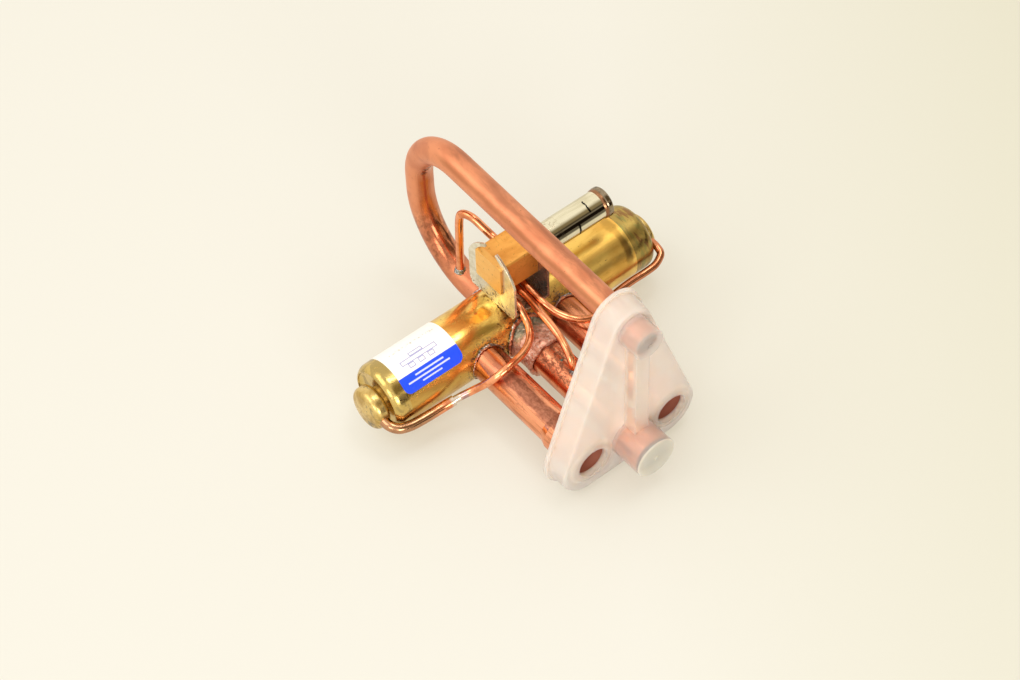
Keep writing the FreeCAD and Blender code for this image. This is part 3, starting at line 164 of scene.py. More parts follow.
def make_camera():
    back = Vector((math.sin(CAMERA_AZIMUTH) * math.cos(CAMERA_ELEVATION),
                   -math.cos(CAMERA_AZIMUTH) * math.cos(CAMERA_ELEVATION),
                   math.sin(CAMERA_ELEVATION)))
    right = picture_right()
    down = right.cross(back)
    turned_right = right * math.cos(CAMERA_ROLL) + down * math.sin(CAMERA_ROLL)
    turned_down = down * math.cos(CAMERA_ROLL) - right * math.sin(CAMERA_ROLL)
    data = bpy.data.cameras.new("camera")
    data.sensor_width = 36
    data.lens = CAMERA_LENS
    data.clip_start = 0.01
    data.clip_end = 20
    camera = bpy.data.objects.new("camera", data)
    bpy.context.scene.collection.objects.link(camera)
    turn = Matrix((turned_right, -turned_down, back)).transposed().to_4x4()
    camera.matrix_world = Matrix.Translation(at(*CAMERA_PLACE)) @ turn
    bpy.context.scene.camera = camera


def make_lamp(name, place, size, power):
    """An area lamp that faces the valve. Places and sizes are in metres, the power in watts."""
    data = bpy.data.lights.new(name, "AREA")
    data.shape = "RECTANGLE"
    data.size, data.size_y = size
    data.energy = power
    data.color = shade("FFFCF6")[:3]
    lamp = bpy.data.objects.new(name, data)
    bpy.context.scene.collection.objects.link(lamp)
    lamp.location = place
    aim = Vector((0, 0, 0.03))
    lamp.rotation_euler = (aim - Vector(place)).to_track_quat("-Z", "Y").to_euler()


def make_world():
    """A pale tent behind and on the left. In front it is dim, with one bright strip."""
    world = bpy.data.worlds.new("tent")
    bpy.context.scene.world = world
    world.use_nodes = True
    tent = Shading(world.node_tree)
    x, y, z = tent.split(tent.add("ShaderNodeTexCoord").outputs["Generated"])
    room = tent.add("ShaderNodeValToRGB")
    stops = ((0.0, "40342A"), (0.36, "3A2E26"), (0.42, "F4E9D0"), (0.50, "F4E9D0"), (0.57, "7A6C52"),
             (0.82, "8C7E62"), (0.96, "FFFAEF"))
    while len(room.color_ramp.elements) < len(stops):
        room.color_ramp.elements.new(0.5)
    for element, (height, code) in zip(room.color_ramp.elements, stops):
        element.position = height
        element.color = shade(code)
    tent.link(z, room.inputs[0])
    behind = tent.rise(y, -0.32, 0.08)
    left = tent.rise(x, 0.10, -0.32)
    background = tent.tree.nodes["Background"]
    tent.put(tent.mix(room.outputs[0], "FFFAEF", tent.larger(behind, left)),
             background.inputs["Color"])
    background.inputs["Strength"].default_value = 1.12


def make_floor():
    """Cream paper with painted shade, a little darker towards the right of the picture. It glows only
    for what sees it.
    """
    bpy.ops.mesh.primitive_plane_add(size=8, location=(0, 0, 0))
    floor = bpy.context.object
    floor.name = "floor"
    material = bpy.data.materials.new("pale_paper_floor")
    material.use_nodes = True
    paper = Shading(material.node_tree)
    shader = paper.tree.nodes["Principled BSDF"]
    shader.inputs["Base Color"].default_value = shade("A0A5A8")
    shader.inputs["Roughness"].default_value = 0.9
    shader.inputs["Specular IOR Level"].default_value = 0.1
    across = paper.add("ShaderNodeVectorMath")
    across.operation = "DOT_PRODUCT"
    paper.link(paper.add("ShaderNodeTexCoord").outputs["Object"], across.inputs[0])
    across.inputs[1].default_value = picture_right()
    # Painted shade: the glow gets darker towards the right of the picture.
    painted_shade_to_right = paper.rise(across.outputs["Value"], 0.03, 0.22, kind="LINEAR")
    path = paper.add("ShaderNodeLightPath")
    seen = paper.larger(path.outputs["Is Camera Ray"], path.outputs["Is Glossy Ray"])
    glow = paper.add("ShaderNodeEmission")
    paper.put(paper.mix("B8AD98", "A4976A", painted_shade_to_right), glow.inputs["Color"])
    paper.put(paper.larger(seen, path.outputs["Is Transmission Ray"]), glow.inputs["Strength"])
    total = paper.add("ShaderNodeAddShader")
    paper.link(shader.outputs[0], total.inputs[0])
    paper.link(glow.outputs[0], total.inputs[1])
    paper.link(total.outputs[0], paper.tree.nodes["Material Output"].inputs["Surface"])
    floor.data.materials.clear()
    floor.data.materials.append(material)


make_camera()
make_world()
make_floor()
make_lamp("softbox_front_left", (-1.05, -0.58, 0.62), (0.45, 0.45), 2.6)
make_lamp("softbox_left", (-0.75, 0.35, 1.05), (0.9, 0.7), 3.6)
make_lamp("softbox_front", (-0.30, -1.15, 0.42), (0.6, 0.4), 5.2)
make_lamp("softbox_top", (0.28, -0.04, 1.22), (0.32, 0.32), 1.8)
bpy.context.scene.view_settings.view_transform = "Standard"


# Finishes

class Finish(Shading):
    """One finish. Its patterns are laid out in millimetres about the barrel's axis."""

    def __init__(self, name, **constants):
        self.material = bpy.data.materials.new(name)
        self.material.use_nodes = True
        super().__init__(self.material.node_tree)
        self.shader = self.tree.nodes["Principled BSDF"]
        for socket, value in constants.items():
            self.set(socket.replace("_", " "), value)
        coordinates = self.add("ShaderNodeTexCoord")
        place = self.add("ShaderNodeMapping")
        place.inputs["Location"].default_value = (0, -AXIS_Y * 1000, -AXIS_Z * 1000)
        place.inputs["Scale"].default_value = (1000, 1000, 1000)
        self.link(coordinates.outputs["Object"], place.inputs["Vector"])
        self.here = place.outputs[0]
        self.x, self.y, self.z = self.split(self.here)

    def set(self, socket, value):
        self.put(value, self.shader.inputs[socket])

    def cloud(self, size, stretch=(1, 1, 1), shift=(0, 0, 0), detail=3.0, rough=0.55, warp=0.0):
        """Soft noise with blotches about size millimetres across."""
        move = self.add("ShaderNodeMapping")
        move.inputs["Location"].default_value = shift
        move.inputs["Scale"].default_value = stretch
        self.link(self.here, move.inputs["Vector"])
        node = self.add("ShaderNodeTexNoise")
        node.inputs["Scale"].default_value = 1 / size
        node.inputs["Detail"].default_value = detail
        node.inputs["Roughness"].default_value = rough
        node.inputs["Distortion"].default_value = warp
        self.link(move.outputs[0], node.inputs["Vector"])
        return node.outputs["Fac"]

    def bump(self, height, depth, under=None):
        """Relief of this depth in millimetres, on top of another relief."""
        node = self.add("ShaderNodeBump")
        node.inputs["Distance"].default_value = depth / 1000
        self.link(height, node.inputs["Height"])
        if under is not None:
            self.link(under, node.inputs["Normal"])
        self.link(node.outputs[0], self.shader.inputs["Normal"])
        return node.outputs[0]

    def away(self, point, axes=(1, 1, 1)):
        """Millimetres from a point, counted along the axes marked with a 1."""
        flat = self.add("ShaderNodeVectorMath")
        flat.operation = "MULTIPLY"
        self.link(self.here, flat.inputs[0])
        flat.inputs[1].default_value = axes
        node = self.add("ShaderNodeVectorMath")
        node.operation = "DISTANCE"
        self.link(flat.outputs[0], node.inputs[0])
        node.inputs[1].default_value = point
        return node.outputs["Value"]

    def near(self, point, low, high):
        """1 at a point, falling to 0 between two distances from it."""
        return self.rise(self.away(point), low, high, 1.0, 0.0)

    def degrees(self, up, along):
        turn = self.calc("ARCTAN2", up, along)
        return self.times(turn, 180 / math.pi)

    def angle(self):
        """Degrees round the barrel: 0 towards the ports, 90 on top."""
        return self.degrees(self.z, self.times(self.y, -1.0))


def tarnished_brass():
    f = Finish("tarnished_brass", Metallic=1.0)
    blotch = f.rise(f.cloud(9, (0.6, 1, 1), (3, 0, 0), 4, 0.6, 0.6), 0.44, 0.62)
    colour = f.mix("FAD678", "E4B25A", blotch)
    fine = f.rise(f.cloud(2.2, (0.5, 1, 1), (8, 2, 0), 5, 0.65), 0.50, 0.72)
    colour = f.tint(colour, "A8742C", fine, 0.42)
    # Heat of brazing: red-brown between the roots of the port tubes, grey-green flecks close to them.
    edge = f.rise(f.cloud(4, (1, 1, 1), (0, 5, 5), 5, 0.6, 1.0), 0.35, 0.62)
    heat = f.near((-2, -9.5, 7.5), 5, 12)
    for flame in ((-8.5, -11, 5), (8.5, -10.5, 6), (12, -10, 8)):
        heat = f.larger(heat, f.near(flame, 3, 9))
    heat = f.times(heat, edge)
    colour = f.tint(colour, "B4693A", heat, 0.55)
    soot = f.rise(f.cloud(1.6, (1, 1, 1), (3, 8, 1), 5, 0.7, 0.8), 0.53, 0.60)
    soot = f.times(soot, f.rise(heat, 0.25, 0.7))
    colour = f.tint(colour, "45302A", soot, 0.85)
    front = f.rise(f.y, -9.0, -6.0, 1.0, 0.0)
    crust = 0.0
    for x in PORT_XS:
        ring = f.rise(f.away((x, 0, 0), (1, 0, 1)), 7.8, 9.4, 1.0, 0.0)
        crust = f.larger(crust, f.times(ring, front))
    flake = f.rise(f.cloud(1.3, (1, 1, 1), (5, 2, 8), 5, 0.7, 0.9), 0.50, 0.56)
    colour = f.tint(colour, "596061", f.times(crust, flake), 0.9)
    # Dark tarnish beside the right seam. A painted highlight brightens the top of the right half, and a
    # painted dark reflection makes the low side of the left half olive.
    wander = f.times(f.minus(f.cloud(6, detail=3), 0.5), 5.0)
    along = f.plus(f.x, wander)
    dark = f.times(f.within(along, 44.6, 47.4, 0.7), f.rise(f.z, 2.0, 6.0))
    colour = f.tint(colour, "5A4428", dark, 0.85)
    halo = f.within(along, 39.5, 46.0, 2.0)
    colour = f.tint(colour, "C08E3C", halo, 0.4)
    # Painted highlight: brighter on top of the right half.
    painted_highlight_top = f.times(f.rise(f.x, 4, 14), f.rise(f.z, 9.5, 11.5))
    colour = f.tint(colour, "F4BE5A", painted_highlight_top, 0.5)
    # Painted dark reflection: olive on the low side of the left half.
    low = f.rise(f.angle(), 22, 46, 1.0, 0.0)
    left = f.times(low, f.rise(f.x, -30, -12, 1.0, 0.0))
    colour = f.tint(colour, "B3893F", left, 0.55)
    # A struck spot, red in the middle.
    spot = f.near((-12.7, -0.5, 12.1), 0.3, 1.0)
    colour = f.tint(colour, "9A4A2E", spot, 0.85)
    smudge = f.rise(f.cloud(2.6, (1, 1, 1), (6, 6, 2), 4, 0.6, 0.6), 0.45, 0.6)
    smudge = f.times(smudge, f.near((-14.0, -0.5, 12.1), 2.5, 6.5))
    colour = f.tint(colour, "A97B33", smudge, 0.6)
    specks = f.rise(f.cloud(0.8, (1, 1, 1), (1, 1, 1), 2, 0.5), 0.71, 0.76)
    colour = f.tint(colour, "4A2E16", specks, 0.8)
    f.set("Base Color", colour)
    rough = f.plus(f.times(blotch, 0.06), f.rise(f.x, -6, 12, 0.16, 0.30))
    rough = f.plus(rough, f.times(fine, 0.12))
    rough = f.plus(rough, f.times(left, 0.12))
    f.set("Roughness", f.plus(rough, f.times(heat, 0.18)))
    drawn = f.cloud(0.7, (0.03, 1, 1), (0, 0, 0), 3, 0.6)
    waves = f.times(f.cloud(11, (0.7, 1, 1), (4, 4, 4), 1, 0.4), f.rise(f.x, 0, 16, 1.0, 0.3))
    f.bump(drawn, 0.02, f.bump(waves, 0.55))
    return f.material


def end_brass():
    f = Finish("stamped_brass", Metallic=1.0)
    patch = f.rise(f.cloud(5.5, (1, 1, 1), (12, 3, 1), 4, 0.55, 0.8), 0.50, 0.54)
    colour = f.mix("DEBF74", "A89462", f.times(patch, 0.75))
    smoke = f.cloud(3, (1, 1, 1), (0, 7, 2), 5, 0.6)
    colour = f.tint(colour, "B4954C", smoke, 0.55)
    # The right end ran hotter: olive with purple and green clouds.
    right = f.rise(f.x, 40, 46)
    colour = f.tint(colour, "A88E4C", right, 0.75)
    purple = f.rise(f.cloud(4.2, (2.4, 0.7, 0.7), (1, 9, 5), 4, 0.6, 0.5), 0.50, 0.60)
    colour = f.tint(colour, "86583E", f.times(purple, right), 0.7)
    green = f.rise(f.cloud(4.8, (2.4, 0.7, 0.7), (7, 1, 3), 4, 0.6, 0.5), 0.54, 0.64)
    colour = f.tint(colour, "7D8650", f.times(green, right), 0.5)
    dots = f.rise(f.cloud(0.9, (1, 1, 1), (2, 5, 3), 3, 0.6), 0.66, 0.72)
    colour = f.tint(colour, "5E4B2A", dots, 0.6)
    f.set("Base Color", colour)
    rough = f.plus(f.times(patch, 0.10), f.times(right, 0.10))
    f.set("Roughness", f.plus(rough, 0.18))
    f.bump(f.cloud(1.4, detail=4), 0.03)
    return f.material


def plug_brass():
    f = Finish("turned_brass", Metallic=1.0)
    smoke = f.rise(f.cloud(4, (1, 1, 1), (2, 9, 4), 5, 0.6, 0.6), 0.4, 0.7)
    colour = f.mix("E2C37E", "BC9A56", smoke)
    stain = f.rise(f.cloud(2.6, (1, 1, 1), (5, 5, 5), 3, 0.5, 1.2), 0.60, 0.65)
    colour = f.tint(colour, "8C8162", stain, 0.6)
    grey = f.times(f.near((-60.5, -4.5, -4.5), 1.2, 3.6),
                  f.rise(f.cloud(1.2, (1, 1, 1), (3, 3, 1), 4, 0.6, 0.8), 0.42, 0.55))
    colour = f.tint(colour, "6F6A60", grey, 0.8)
    f.set("Base Color", colour)
    f.set("Roughness", f.plus(f.times(smoke, 0.12), 0.26))
    f.bump(f.cloud(0.6, (1, 1, 1), detail=3), 0.015)
    return f.material


# The discharge tube's run: how high its middle line lies over the barrel, and its slope.
RUN_HEIGHT = 56.3
RUN_SLOPE = 0.034


def loop_copper():
    """The discharge tube: dull, with a bright bend at its foot."""
    f = Finish("loop_copper", Metallic=0.85)
    veil = f.rise(f.cloud(10, (1, 0.5, 1), (0, 2, 6), 4, 0.5, 0.3), 0.36, 0.70)
    colour = f.mix("E6986F", "CC7E5A", veil)
    patch = f.rise(f.cloud(7, (1, 0.6, 0.7), (4, 1, 2), 4, 0.5, 0.4), 0.50, 0.66)
    colour = f.tint(colour, "C4785A", patch, 0.5)
    grain = f.rise(f.cloud(1.2, (1, 0.3, 1), (9, 9, 1), 5, 0.7), 0.55, 0.70)
    colour = f.tint(colour, "B06C4C", grain, 0.3)
    # Painted reflection: a brown stripe low along the run, on the left.
    over = f.minus(f.z, f.plus(f.times(f.y, RUN_SLOPE), RUN_HEIGHT))
    turn = f.degrees(f.x, over)
    wobble = f.times(f.minus(f.cloud(6, (1, 0.4, 1), (2, 2, 2), 3), 0.5), 26)
    turn = f.plus(turn, wobble)
    run = f.rise(f.y, 22, 32, 1.0, 0.0)
    painted_reflection_stripe = f.times(f.within(turn, -68, -47, 9), run)
    colour = f.tint(colour, "A0643E", painted_reflection_stripe, 0.5)
    # A brown stain along the top of the run.
    top = f.times(f.within(turn, -22, 34, 14), run)
    top = f.times(top, f.rise(f.cloud(6, (1, 0.3, 1), (7, 3, 3), 5, 0.6, 0.4), 0.36, 0.56))
    colour = f.tint(colour, "A2684C", top, 0.6)
    # Darker and glossier on the inside of the upright limb and at the lower bend.
    inner = f.times(f.within(f.x, -3.6, 1.2, 0.9), f.within(f.z, 7, 43, 2.5))
    inner = f.times(inner, f.rise(f.y, 40.6, 42.4, 1.0, 0.0))
    colour = f.tint(colour, "B45F38", inner, 0.6)
    shine = f.near((-2.6, 33.5, 11.5), 6, 15)
    mottle = f.rise(f.cloud(2.4, (1, 1, 1), (1, 4, 4), 5, 0.65, 0.5), 0.40, 0.60)
    colour = f.tint(colour, "8A5238", f.times(shine, mottle), 0.75)
    # Creases in the inside of the upper bend: relief, darkened by painted shade.
    crease_with_painted_shade = 0.0
    for fold, reach in (((-1.3, 38.3, 42.3), 1.1), ((-1.6, 39.2, 39.7), 1.2), ((-0.4, 37.4, 43.8), 1.2)):
        crease_with_painted_shade = f.larger(crease_with_painted_shade, f.near(fold, 0.5, reach))
    colour = f.tint(colour, "6B4630", crease_with_painted_shade, 0.75)
    dots = f.rise(f.cloud(0.7, (1, 1, 1), (4, 2, 7), 2, 0.5), 0.72, 0.77)
    colour = f.tint(colour, "6A3A2A", dots, 0.7)
    f.set("Base Color", colour)
    rough = f.plus(f.times(veil, 0.06), 0.42)
    f.set("Roughness", f.minus(rough, f.times(f.larger(f.times(inner, 0.7), shine), 0.31)))
    folds = f.bump(f.times(crease_with_painted_shade, -1.0), 0.3)
    f.bump(f.cloud(0.9, (1, 0.2, 1), (0, 0, 0), 4, 0.6), 0.02, folds)
    return f.material


def drawn_copper():
    """The port tubes: glossy, streaked and stained along their length."""
    f = Finish("drawn_copper")
    veil = f.rise(f.cloud(6, (1, 0.25, 1), (0, 2, 6), 5, 0.6, 0.5), 0.38, 0.66)
    colour = f.mix("F6A67C", "D68460", veil)
    streak = f.rise(f.cloud(1.5, (1, 0.10, 1), (3, 0, 3), 4, 0.6), 0.48, 0.66)
    colour = f.tint(colour, "A25A3A", streak, 0.55)
    # Purple-brown band along the top of the left tube.
    wander = f.minus(f.cloud(3.5, (1, 0.4, 1), (1, 1, 1), 4), 0.5)
    across = f.plus(f.x, f.times(wander, 4.0))
    band = f.times(f.within(across, -20.6, -15.8, 0.7), f.within(f.y, -54, -22, 2.5))
    band = f.times(band, f.rise(f.z, 2.5, 4.5))
    grit = f.rise(f.cloud(0.9, (1, 0.6, 1), (6, 2, 1), 4, 0.7), 0.40, 0.62)
    colour = f.mix(colour, f.mix("A8705A", "7C4C3C", grit), f.times(band, 0.85))
    pink = f.rise(f.cloud(1.2, (1, 1, 1), (2, 6, 1), 5, 0.7), 0.35, 0.5)
    pink = f.times(pink, f.near((-18.5, -20.5, 6), 2.2, 4.5))
    colour = f.tint(colour, "D08468", pink, 0.8)
    # Speckled scale on the middle tube beyond its sleeve, with one green speck.
    scale = f.times(f.within(f.x, -5.5, 4.5, 1.2), f.within(f.y, -41, -22, 3.0))
    scale = f.times(scale, f.rise(f.z, 1.0, 3.5))
    fleck = f.rise(f.cloud(1.2, (1, 0.7, 1), (6, 2, 9), 6, 0.75, 0.5), 0.44, 0.56)
    colour = f.tint(colour, "6E4334", f.times(scale, fleck), 0.8)
    teal = f.near((-0.6, -30.7, 6.3), 0.3, 0.75)
    colour = f.tint(colour, "5E9A92", teal, 0.9)
    grime = f.rise(f.cloud(3.2, (1, 0.5, 1), (9, 9, 1), 6, 0.7, 0.7), 0.56, 0.68)
    colour = f.tint(colour, "7A402A", grime, 0.45)
    # Darker where the flame reached: the first stretch out of the barrel.
    burnt = f.rise(f.y, -24, -14, 0.0, 1.0)
    colour = f.tint(colour, "9A563A", burnt, 0.4)
    dots = f.rise(f.cloud(0.7, (1, 1, 1), (4, 2, 7), 2, 0.5), 0.71, 0.76)
    colour = f.tint(colour, "4A2A20", dots, 0.8)
    # The ring of braze at the pilot sleeve is thin and dark.
    high = f.rise(f.z, 16, 18)
    colour = f.tint(colour, "8E6A4C", high, 0.85)
    # Dull and red-brown inside the open ends.
    bore = 0.0
    for x in PORT_XS:
        bore = f.larger(bore, f.rise(f.away((x, 0, 0), (1, 0, 1)), 6.42, 6.50, 1.0, 0.0))
    bore = f.times(bore, f.rise(f.y, -57.5, -56.5, 1.0, 0.0))
    colour = f.mix(colour, "C8806A", bore)
    f.set("Metallic", f.minus(1.0, f.times(bore, 0.85)))
    f.set("Base Color", colour)
    rough = f.plus(f.times(veil, 0.08), 0.2)
    rough = f.plus(rough, f.times(f.larger(band, bore), 0.3))
    f.set("Roughness", f.plus(rough, f.times(f.times(scale, fleck), 0.25)))
    waves = f.bump(f.cloud(5, (1, 0.25, 1), (3, 3, 3), 2), 0.25)
    f.bump(f.cloud(0.9, (1, 0.2, 1), (0, 0, 0), 4, 0.6), 0.02, waves)
    return f.material


def capillary_copper():
    f = Finish("capillary_copper", Metallic=1.0)
    veil = f.rise(f.cloud(4, (1, 1, 1), (7, 2, 6), 4, 0.6, 0.4), 0.42, 0.70)
    colour = f.mix("F8A678", "D07C50", veil)
    dots = f.rise(f.cloud(1.1, (1, 1, 1), (2, 2, 2), 3, 0.6), 0.62, 0.70)
    colour = f.tint(colour, "7A3E26", dots, 0.5)
    # Silver and rainbow colours at the brazed joint of the left tube.
    joint = f.within(f.x, -36.2, -32.6, 0.6)
    colour = f.tint(colour, "D8D2C4", joint, 0.85)
    tint = f.within(f.x, -32.6, -30.4, 0.5)
    colour = f.tint(colour, "6F8298", tint, 0.6)
    # Dull round the left plug, browner on the right.
    dull = f.rise(f.x, -46, -38, 1.0, 0.0)
    colour = f.tint(colour, "A08466", dull, 0.7)
    brown = f.rise(f.x, 20, 34)
    colour = f.tint(colour, "A8684A", brown, 0.6)
    f.set("Base Color", colour)
    f.set("Roughness", f.plus(f.times(veil, 0.10), 0.13))
    f.bump(f.cloud(1.5, detail=2), 0.03)
    return f.material


def silver_braze():
    """A thin grey line of braze next to the brass, copper-coloured further out."""
    f = Finish("silver_braze", Metallic=1.0)
    patch = f.rise(f.cloud(1.4, (1, 1, 1), (2, 3, 1), 5, 0.65, 0.8), 0.42, 0.60)
    colour = f.mix("C6C6C4", "5E6468", patch)
    # Away from the barrel it has run out over the copper. The beads farther out stay grey.
    out = f.away((0, 0, 0), (0, 1, 1))
    far = f.rise(f.plus(out, f.times(f.cloud(1.5, detail=4), 0.9)), 12.95, 13.3)
    far = f.times(far, f.rise(out, 16, 18, 1.0, 0.0))
    far = f.times(far, f.rise(f.calc("ABSOLUTE", f.y), 16, 18, 1.0, 0.0))
    warm = f.mix("E29A78", "B0705A", f.rise(f.cloud(2, (1, 1, 1), (8, 1, 4), 5, 0.7, 0.8), 0.42, 0.6))
    colour = f.mix(colour, warm, far)
    f.set("Base Color", colour)
    f.set("Roughness", f.plus(f.times(patch, 0.2), 0.26))
    f.bump(f.cloud(0.7, detail=5, rough=0.65), 0.10)
    return f.material


def burnt_sleeve():
    f = Finish("burnt_copper", Metallic=0.6)
    patch = f.rise(f.cloud(2.2, (1, 1, 1), (1, 5, 2), 6, 0.75, 0.8), 0.44, 0.62)
    colour = f.mix("F0B8A0", "BC7054", patch)
    pale = f.rise(f.cloud(1.1, (1, 1, 1), (5, 5, 2), 5, 0.75, 0.5), 0.52, 0.62)
    colour = f.tint(colour, "F6E0D2", pale, 0.75)
    deep = f.rise(f.cloud(1.0, (1, 1, 1), (9, 5, 7), 5, 0.75, 0.5), 0.60, 0.67)
    colour = f.tint(colour, "6A2C1E", deep, 0.8)
    # Grey-green scale on top next to the barrel.
    scale = f.times(f.rise(f.y, -16.4, -13.6), f.rise(f.z, 2.0, 6.0))
    scale = f.times(scale, f.rise(f.cloud(2.4, (1, 1, 1), (0, 2, 4), 5, 0.65, 0.6), 0.34, 0.46))
    colour = f.mix(colour, f.mix("8C8E78", "5A584A", deep), f.times(scale, 0.9))
    f.set("Base Color", colour)
    f.set("Roughness", f.plus(f.times(patch, 0.2), 0.36))
    f.bump(f.cloud(0.6, detail=5, rough=0.75), 0.16)
    return f.material


def milled_brass():
    f = Finish("milled_brass", Metallic=0.8)
    veil = f.rise(f.cloud(5, (0.5, 1, 1), (1, 2, 9), 4, 0.6, 0.4), 0.35, 0.70)
    colour = f.mix("F2B058", "DE9844", veil)
    # The left face is brighter.
    face = f.rise(f.x, -4.0, -3.4, 1.0, 0.0)
    colour = f.tint(colour, "FFCE78", face, 0.6)
    specks = f.rise(f.cloud(0.9, (1, 1, 1), (3, 1, 7), 3, 0.6), 0.64, 0.70)
    colour = f.tint(colour, "7A4E20", specks, 0.7)
    scratch = f.rise(f.cloud(0.5, (0.6, 0.05, 1), (0, 3, 7), 3, 0.6), 0.60, 0.70)
    colour = f.tint(colour, "B8802F", scratch, 0.5)
    f.set("Base Color", colour)
    f.set("Roughness", f.plus(f.times(veil, 0.1), 0.40))
    f.bump(f.cloud(0.35, (0.04, 1, 1), detail=2), 0.02)
    return f.material


def plated_steel():
    f = Finish("plated_steel", Metallic=0.8)
    veil = f.rise(f.cloud(5, (1, 1, 1), (4, 1, 9), 4, 0.6, 0.5), 0.35, 0.70)
    colour = f.mix("EAE4D0", "C8BEA4", veil)
    # The rear plate is brown. There is rust low down and at one spot higher up.
    rear = f.rise(f.x, 4.0, 6.0)
    colour = f.mix(colour, f.mix("9A857C", "6A564E", veil), f.times(rear, 0.85))
    rust = f.rise(f.cloud(1.2, (1, 1, 1), (6, 1, 2), 5, 0.75, 0.4), 0.52, 0.58)
    low = f.rise(f.z, 13.0, 17.5, 1.0, 0.0)
    low = f.larger(low, f.near((-5.0, -1.5, 17.0), 1.2, 2.4))
    colour = f.mix(colour, "5E3C24", f.times(rust, low))
    f.set("Base Color", colour)
    f.set("Roughness", f.plus(f.times(f.times(rust, low), 0.4), 0.26))
    f.bump(f.cloud(0.5, (1, 1, 0.1), detail=3), 0.015)
    return f.material


def bright_stainless():
    f = Finish("bright_stainless", Metallic=1.0)
    centre = middle("pilot_sleeve")
    turn = f.degrees(f.minus(f.z, centre.z), f.minus(centre.y, f.y))
    veil = f.rise(f.cloud(4, (0.3, 1, 1), (4, 1, 9), 4, 0.6, 0.5), 0.40, 0.75)
    colour = f.mix("E8E0C4", "D0C6A6", veil)
    stain = f.times(f.rise(f.cloud(1.8, (1, 1, 1), (1, 1, 4), 5, 0.7, 0.6), 0.48, 0.60),
                   f.rise(f.x, 17, 27, 1.0, 0.0))
    colour = f.tint(colour, "8A6A48", stain, 0.75)
    # Painted reflection of a dark room: a dark band along the front.
    painted_reflection_band = f.within(turn, 16, 50, 3)
    colour = f.tint(colour, "3A3028", painted_reflection_band, 0.85)
    # Two broken marker lines round the sleeve.
    ragged = f.times(f.minus(f.cloud(1.2, detail=3), 0.5), 0.9)
    place = f.plus(f.x, ragged)
    first = f.times(f.within(place, 34.85, 35.5, 0.12), f.within(turn, 46, 100, 2))
    second = f.times(f.within(place, 29.2, 29.95, 0.12), f.within(turn, -35, 30, 2))
    colour = f.mix(colour, "17130F", f.larger(first, second))
    f.set("Base Color", colour)
    f.set("Roughness", f.plus(f.times(stain, 0.25), 0.08))
    f.bump(f.cloud(0.5, (0.05, 1, 1), detail=3), 0.006)
    return f.material


def dark_core():
    f = Finish("dark_core_steel", Metallic=1.0)
    veil = f.rise(f.cloud(3, (1, 1, 1), (4, 4, 9), 4, 0.6, 0.5), 0.40, 0.65)
    colour = f.mix("9A8A74", "5A4A3A", veil)
    f.set("Base Color", colour)
    f.set("Roughness", f.plus(f.times(veil, 0.1), 0.12))
    f.bump(f.cloud(0.3, (1, 1, 1), detail=3), 0.01)
    return f.material


def plain_steel():
    f = Finish("plain_steel", Metallic=1.0, Roughness=0.3)
    veil = f.cloud(3, detail=4)
    f.set("Base Color", f.mix("BDB9B1", "8F8A82", veil))
    f.bump(f.cloud(0.4, (0.1, 1, 1), detail=3), 0.01)
    return f.material


def pale_plastic():
    f = Finish("pale_plastic", Roughness=0.45)
    f.set("Base Color", f.mix("E4DECC", "CFC7B2", f.cloud(4, detail=3)))
    f.bump(f.cloud(0.5, detail=3), 0.01)
    return f.material


def printed_label():
    f = Finish("printed_label", Roughness=0.42)
    turn = f.angle()
    paper = f.mix("FDFCFA", "F5F3F0", f.cloud(1.2, detail=3))
    band = f.rise(turn, 62.6, 63.4, 1.0, 0.0)
    colour = f.mix(paper, "124CFF", band)

    # One millimetre round the barrel is about this many degrees.
    degrees_per_mm = 5

    def bar(left, right, low, high, soft=0.12):
        across = f.within(f.x, left, right, soft)
        return f.times(across, f.within(turn, low, high, soft * degrees_per_mm))

    # Plain bars in the band.
    bars = bar(-43.0, -31.4, 55.0, 57.6)
    bars = f.larger(bars, bar(-46.6, -29.6, 48.2, 50.8))
    bars = f.larger(bars, bar(-41.6, -33.6, 41.6, 43.9))
    colour = f.tint(colour, "E6EDFF", bars, 0.85)

    # A plain line drawing: a long box, a small box on it and three feet.
    def frame_of(left, right, low, high, width=0.3):
        turned = width * degrees_per_mm
        inner = bar(left + width, right - width, low + turned, high - turned, 0.06)
        return f.minus(bar(left, right, low, high, 0.06), inner, clamp=True)

    lines = frame_of(-45.0, -30.6, 77.0, 86.0)
    for extra in (frame_of(-40.6, -35.2, 86.0, 93.0), frame_of(-43.0, -40.6, 68.5, 77.0),
                  frame_of(-39.0, -36.6, 68.5, 77.0), frame_of(-35.0, -32.6, 68.5, 77.0)):
        lines = f.larger(lines, extra)
    colour = f.tint(colour, "8E90CC", lines, 0.9)
    # Faint worn smudges higher up.
    worn = f.rise(f.cloud(0.7, (1, 1, 1), (2, 1, 2), 3, 0.6), 0.52, 0.58)
    stamp = f.times(bar(-46.0, -27.5, 107, 110.5, 0.5), worn)
    colour = f.tint(colour, "8C8270", stamp, 0.8)
    f.set("Base Color", colour)
    f.bump(f.cloud(0.4, detail=3), 0.008)
    return f.material


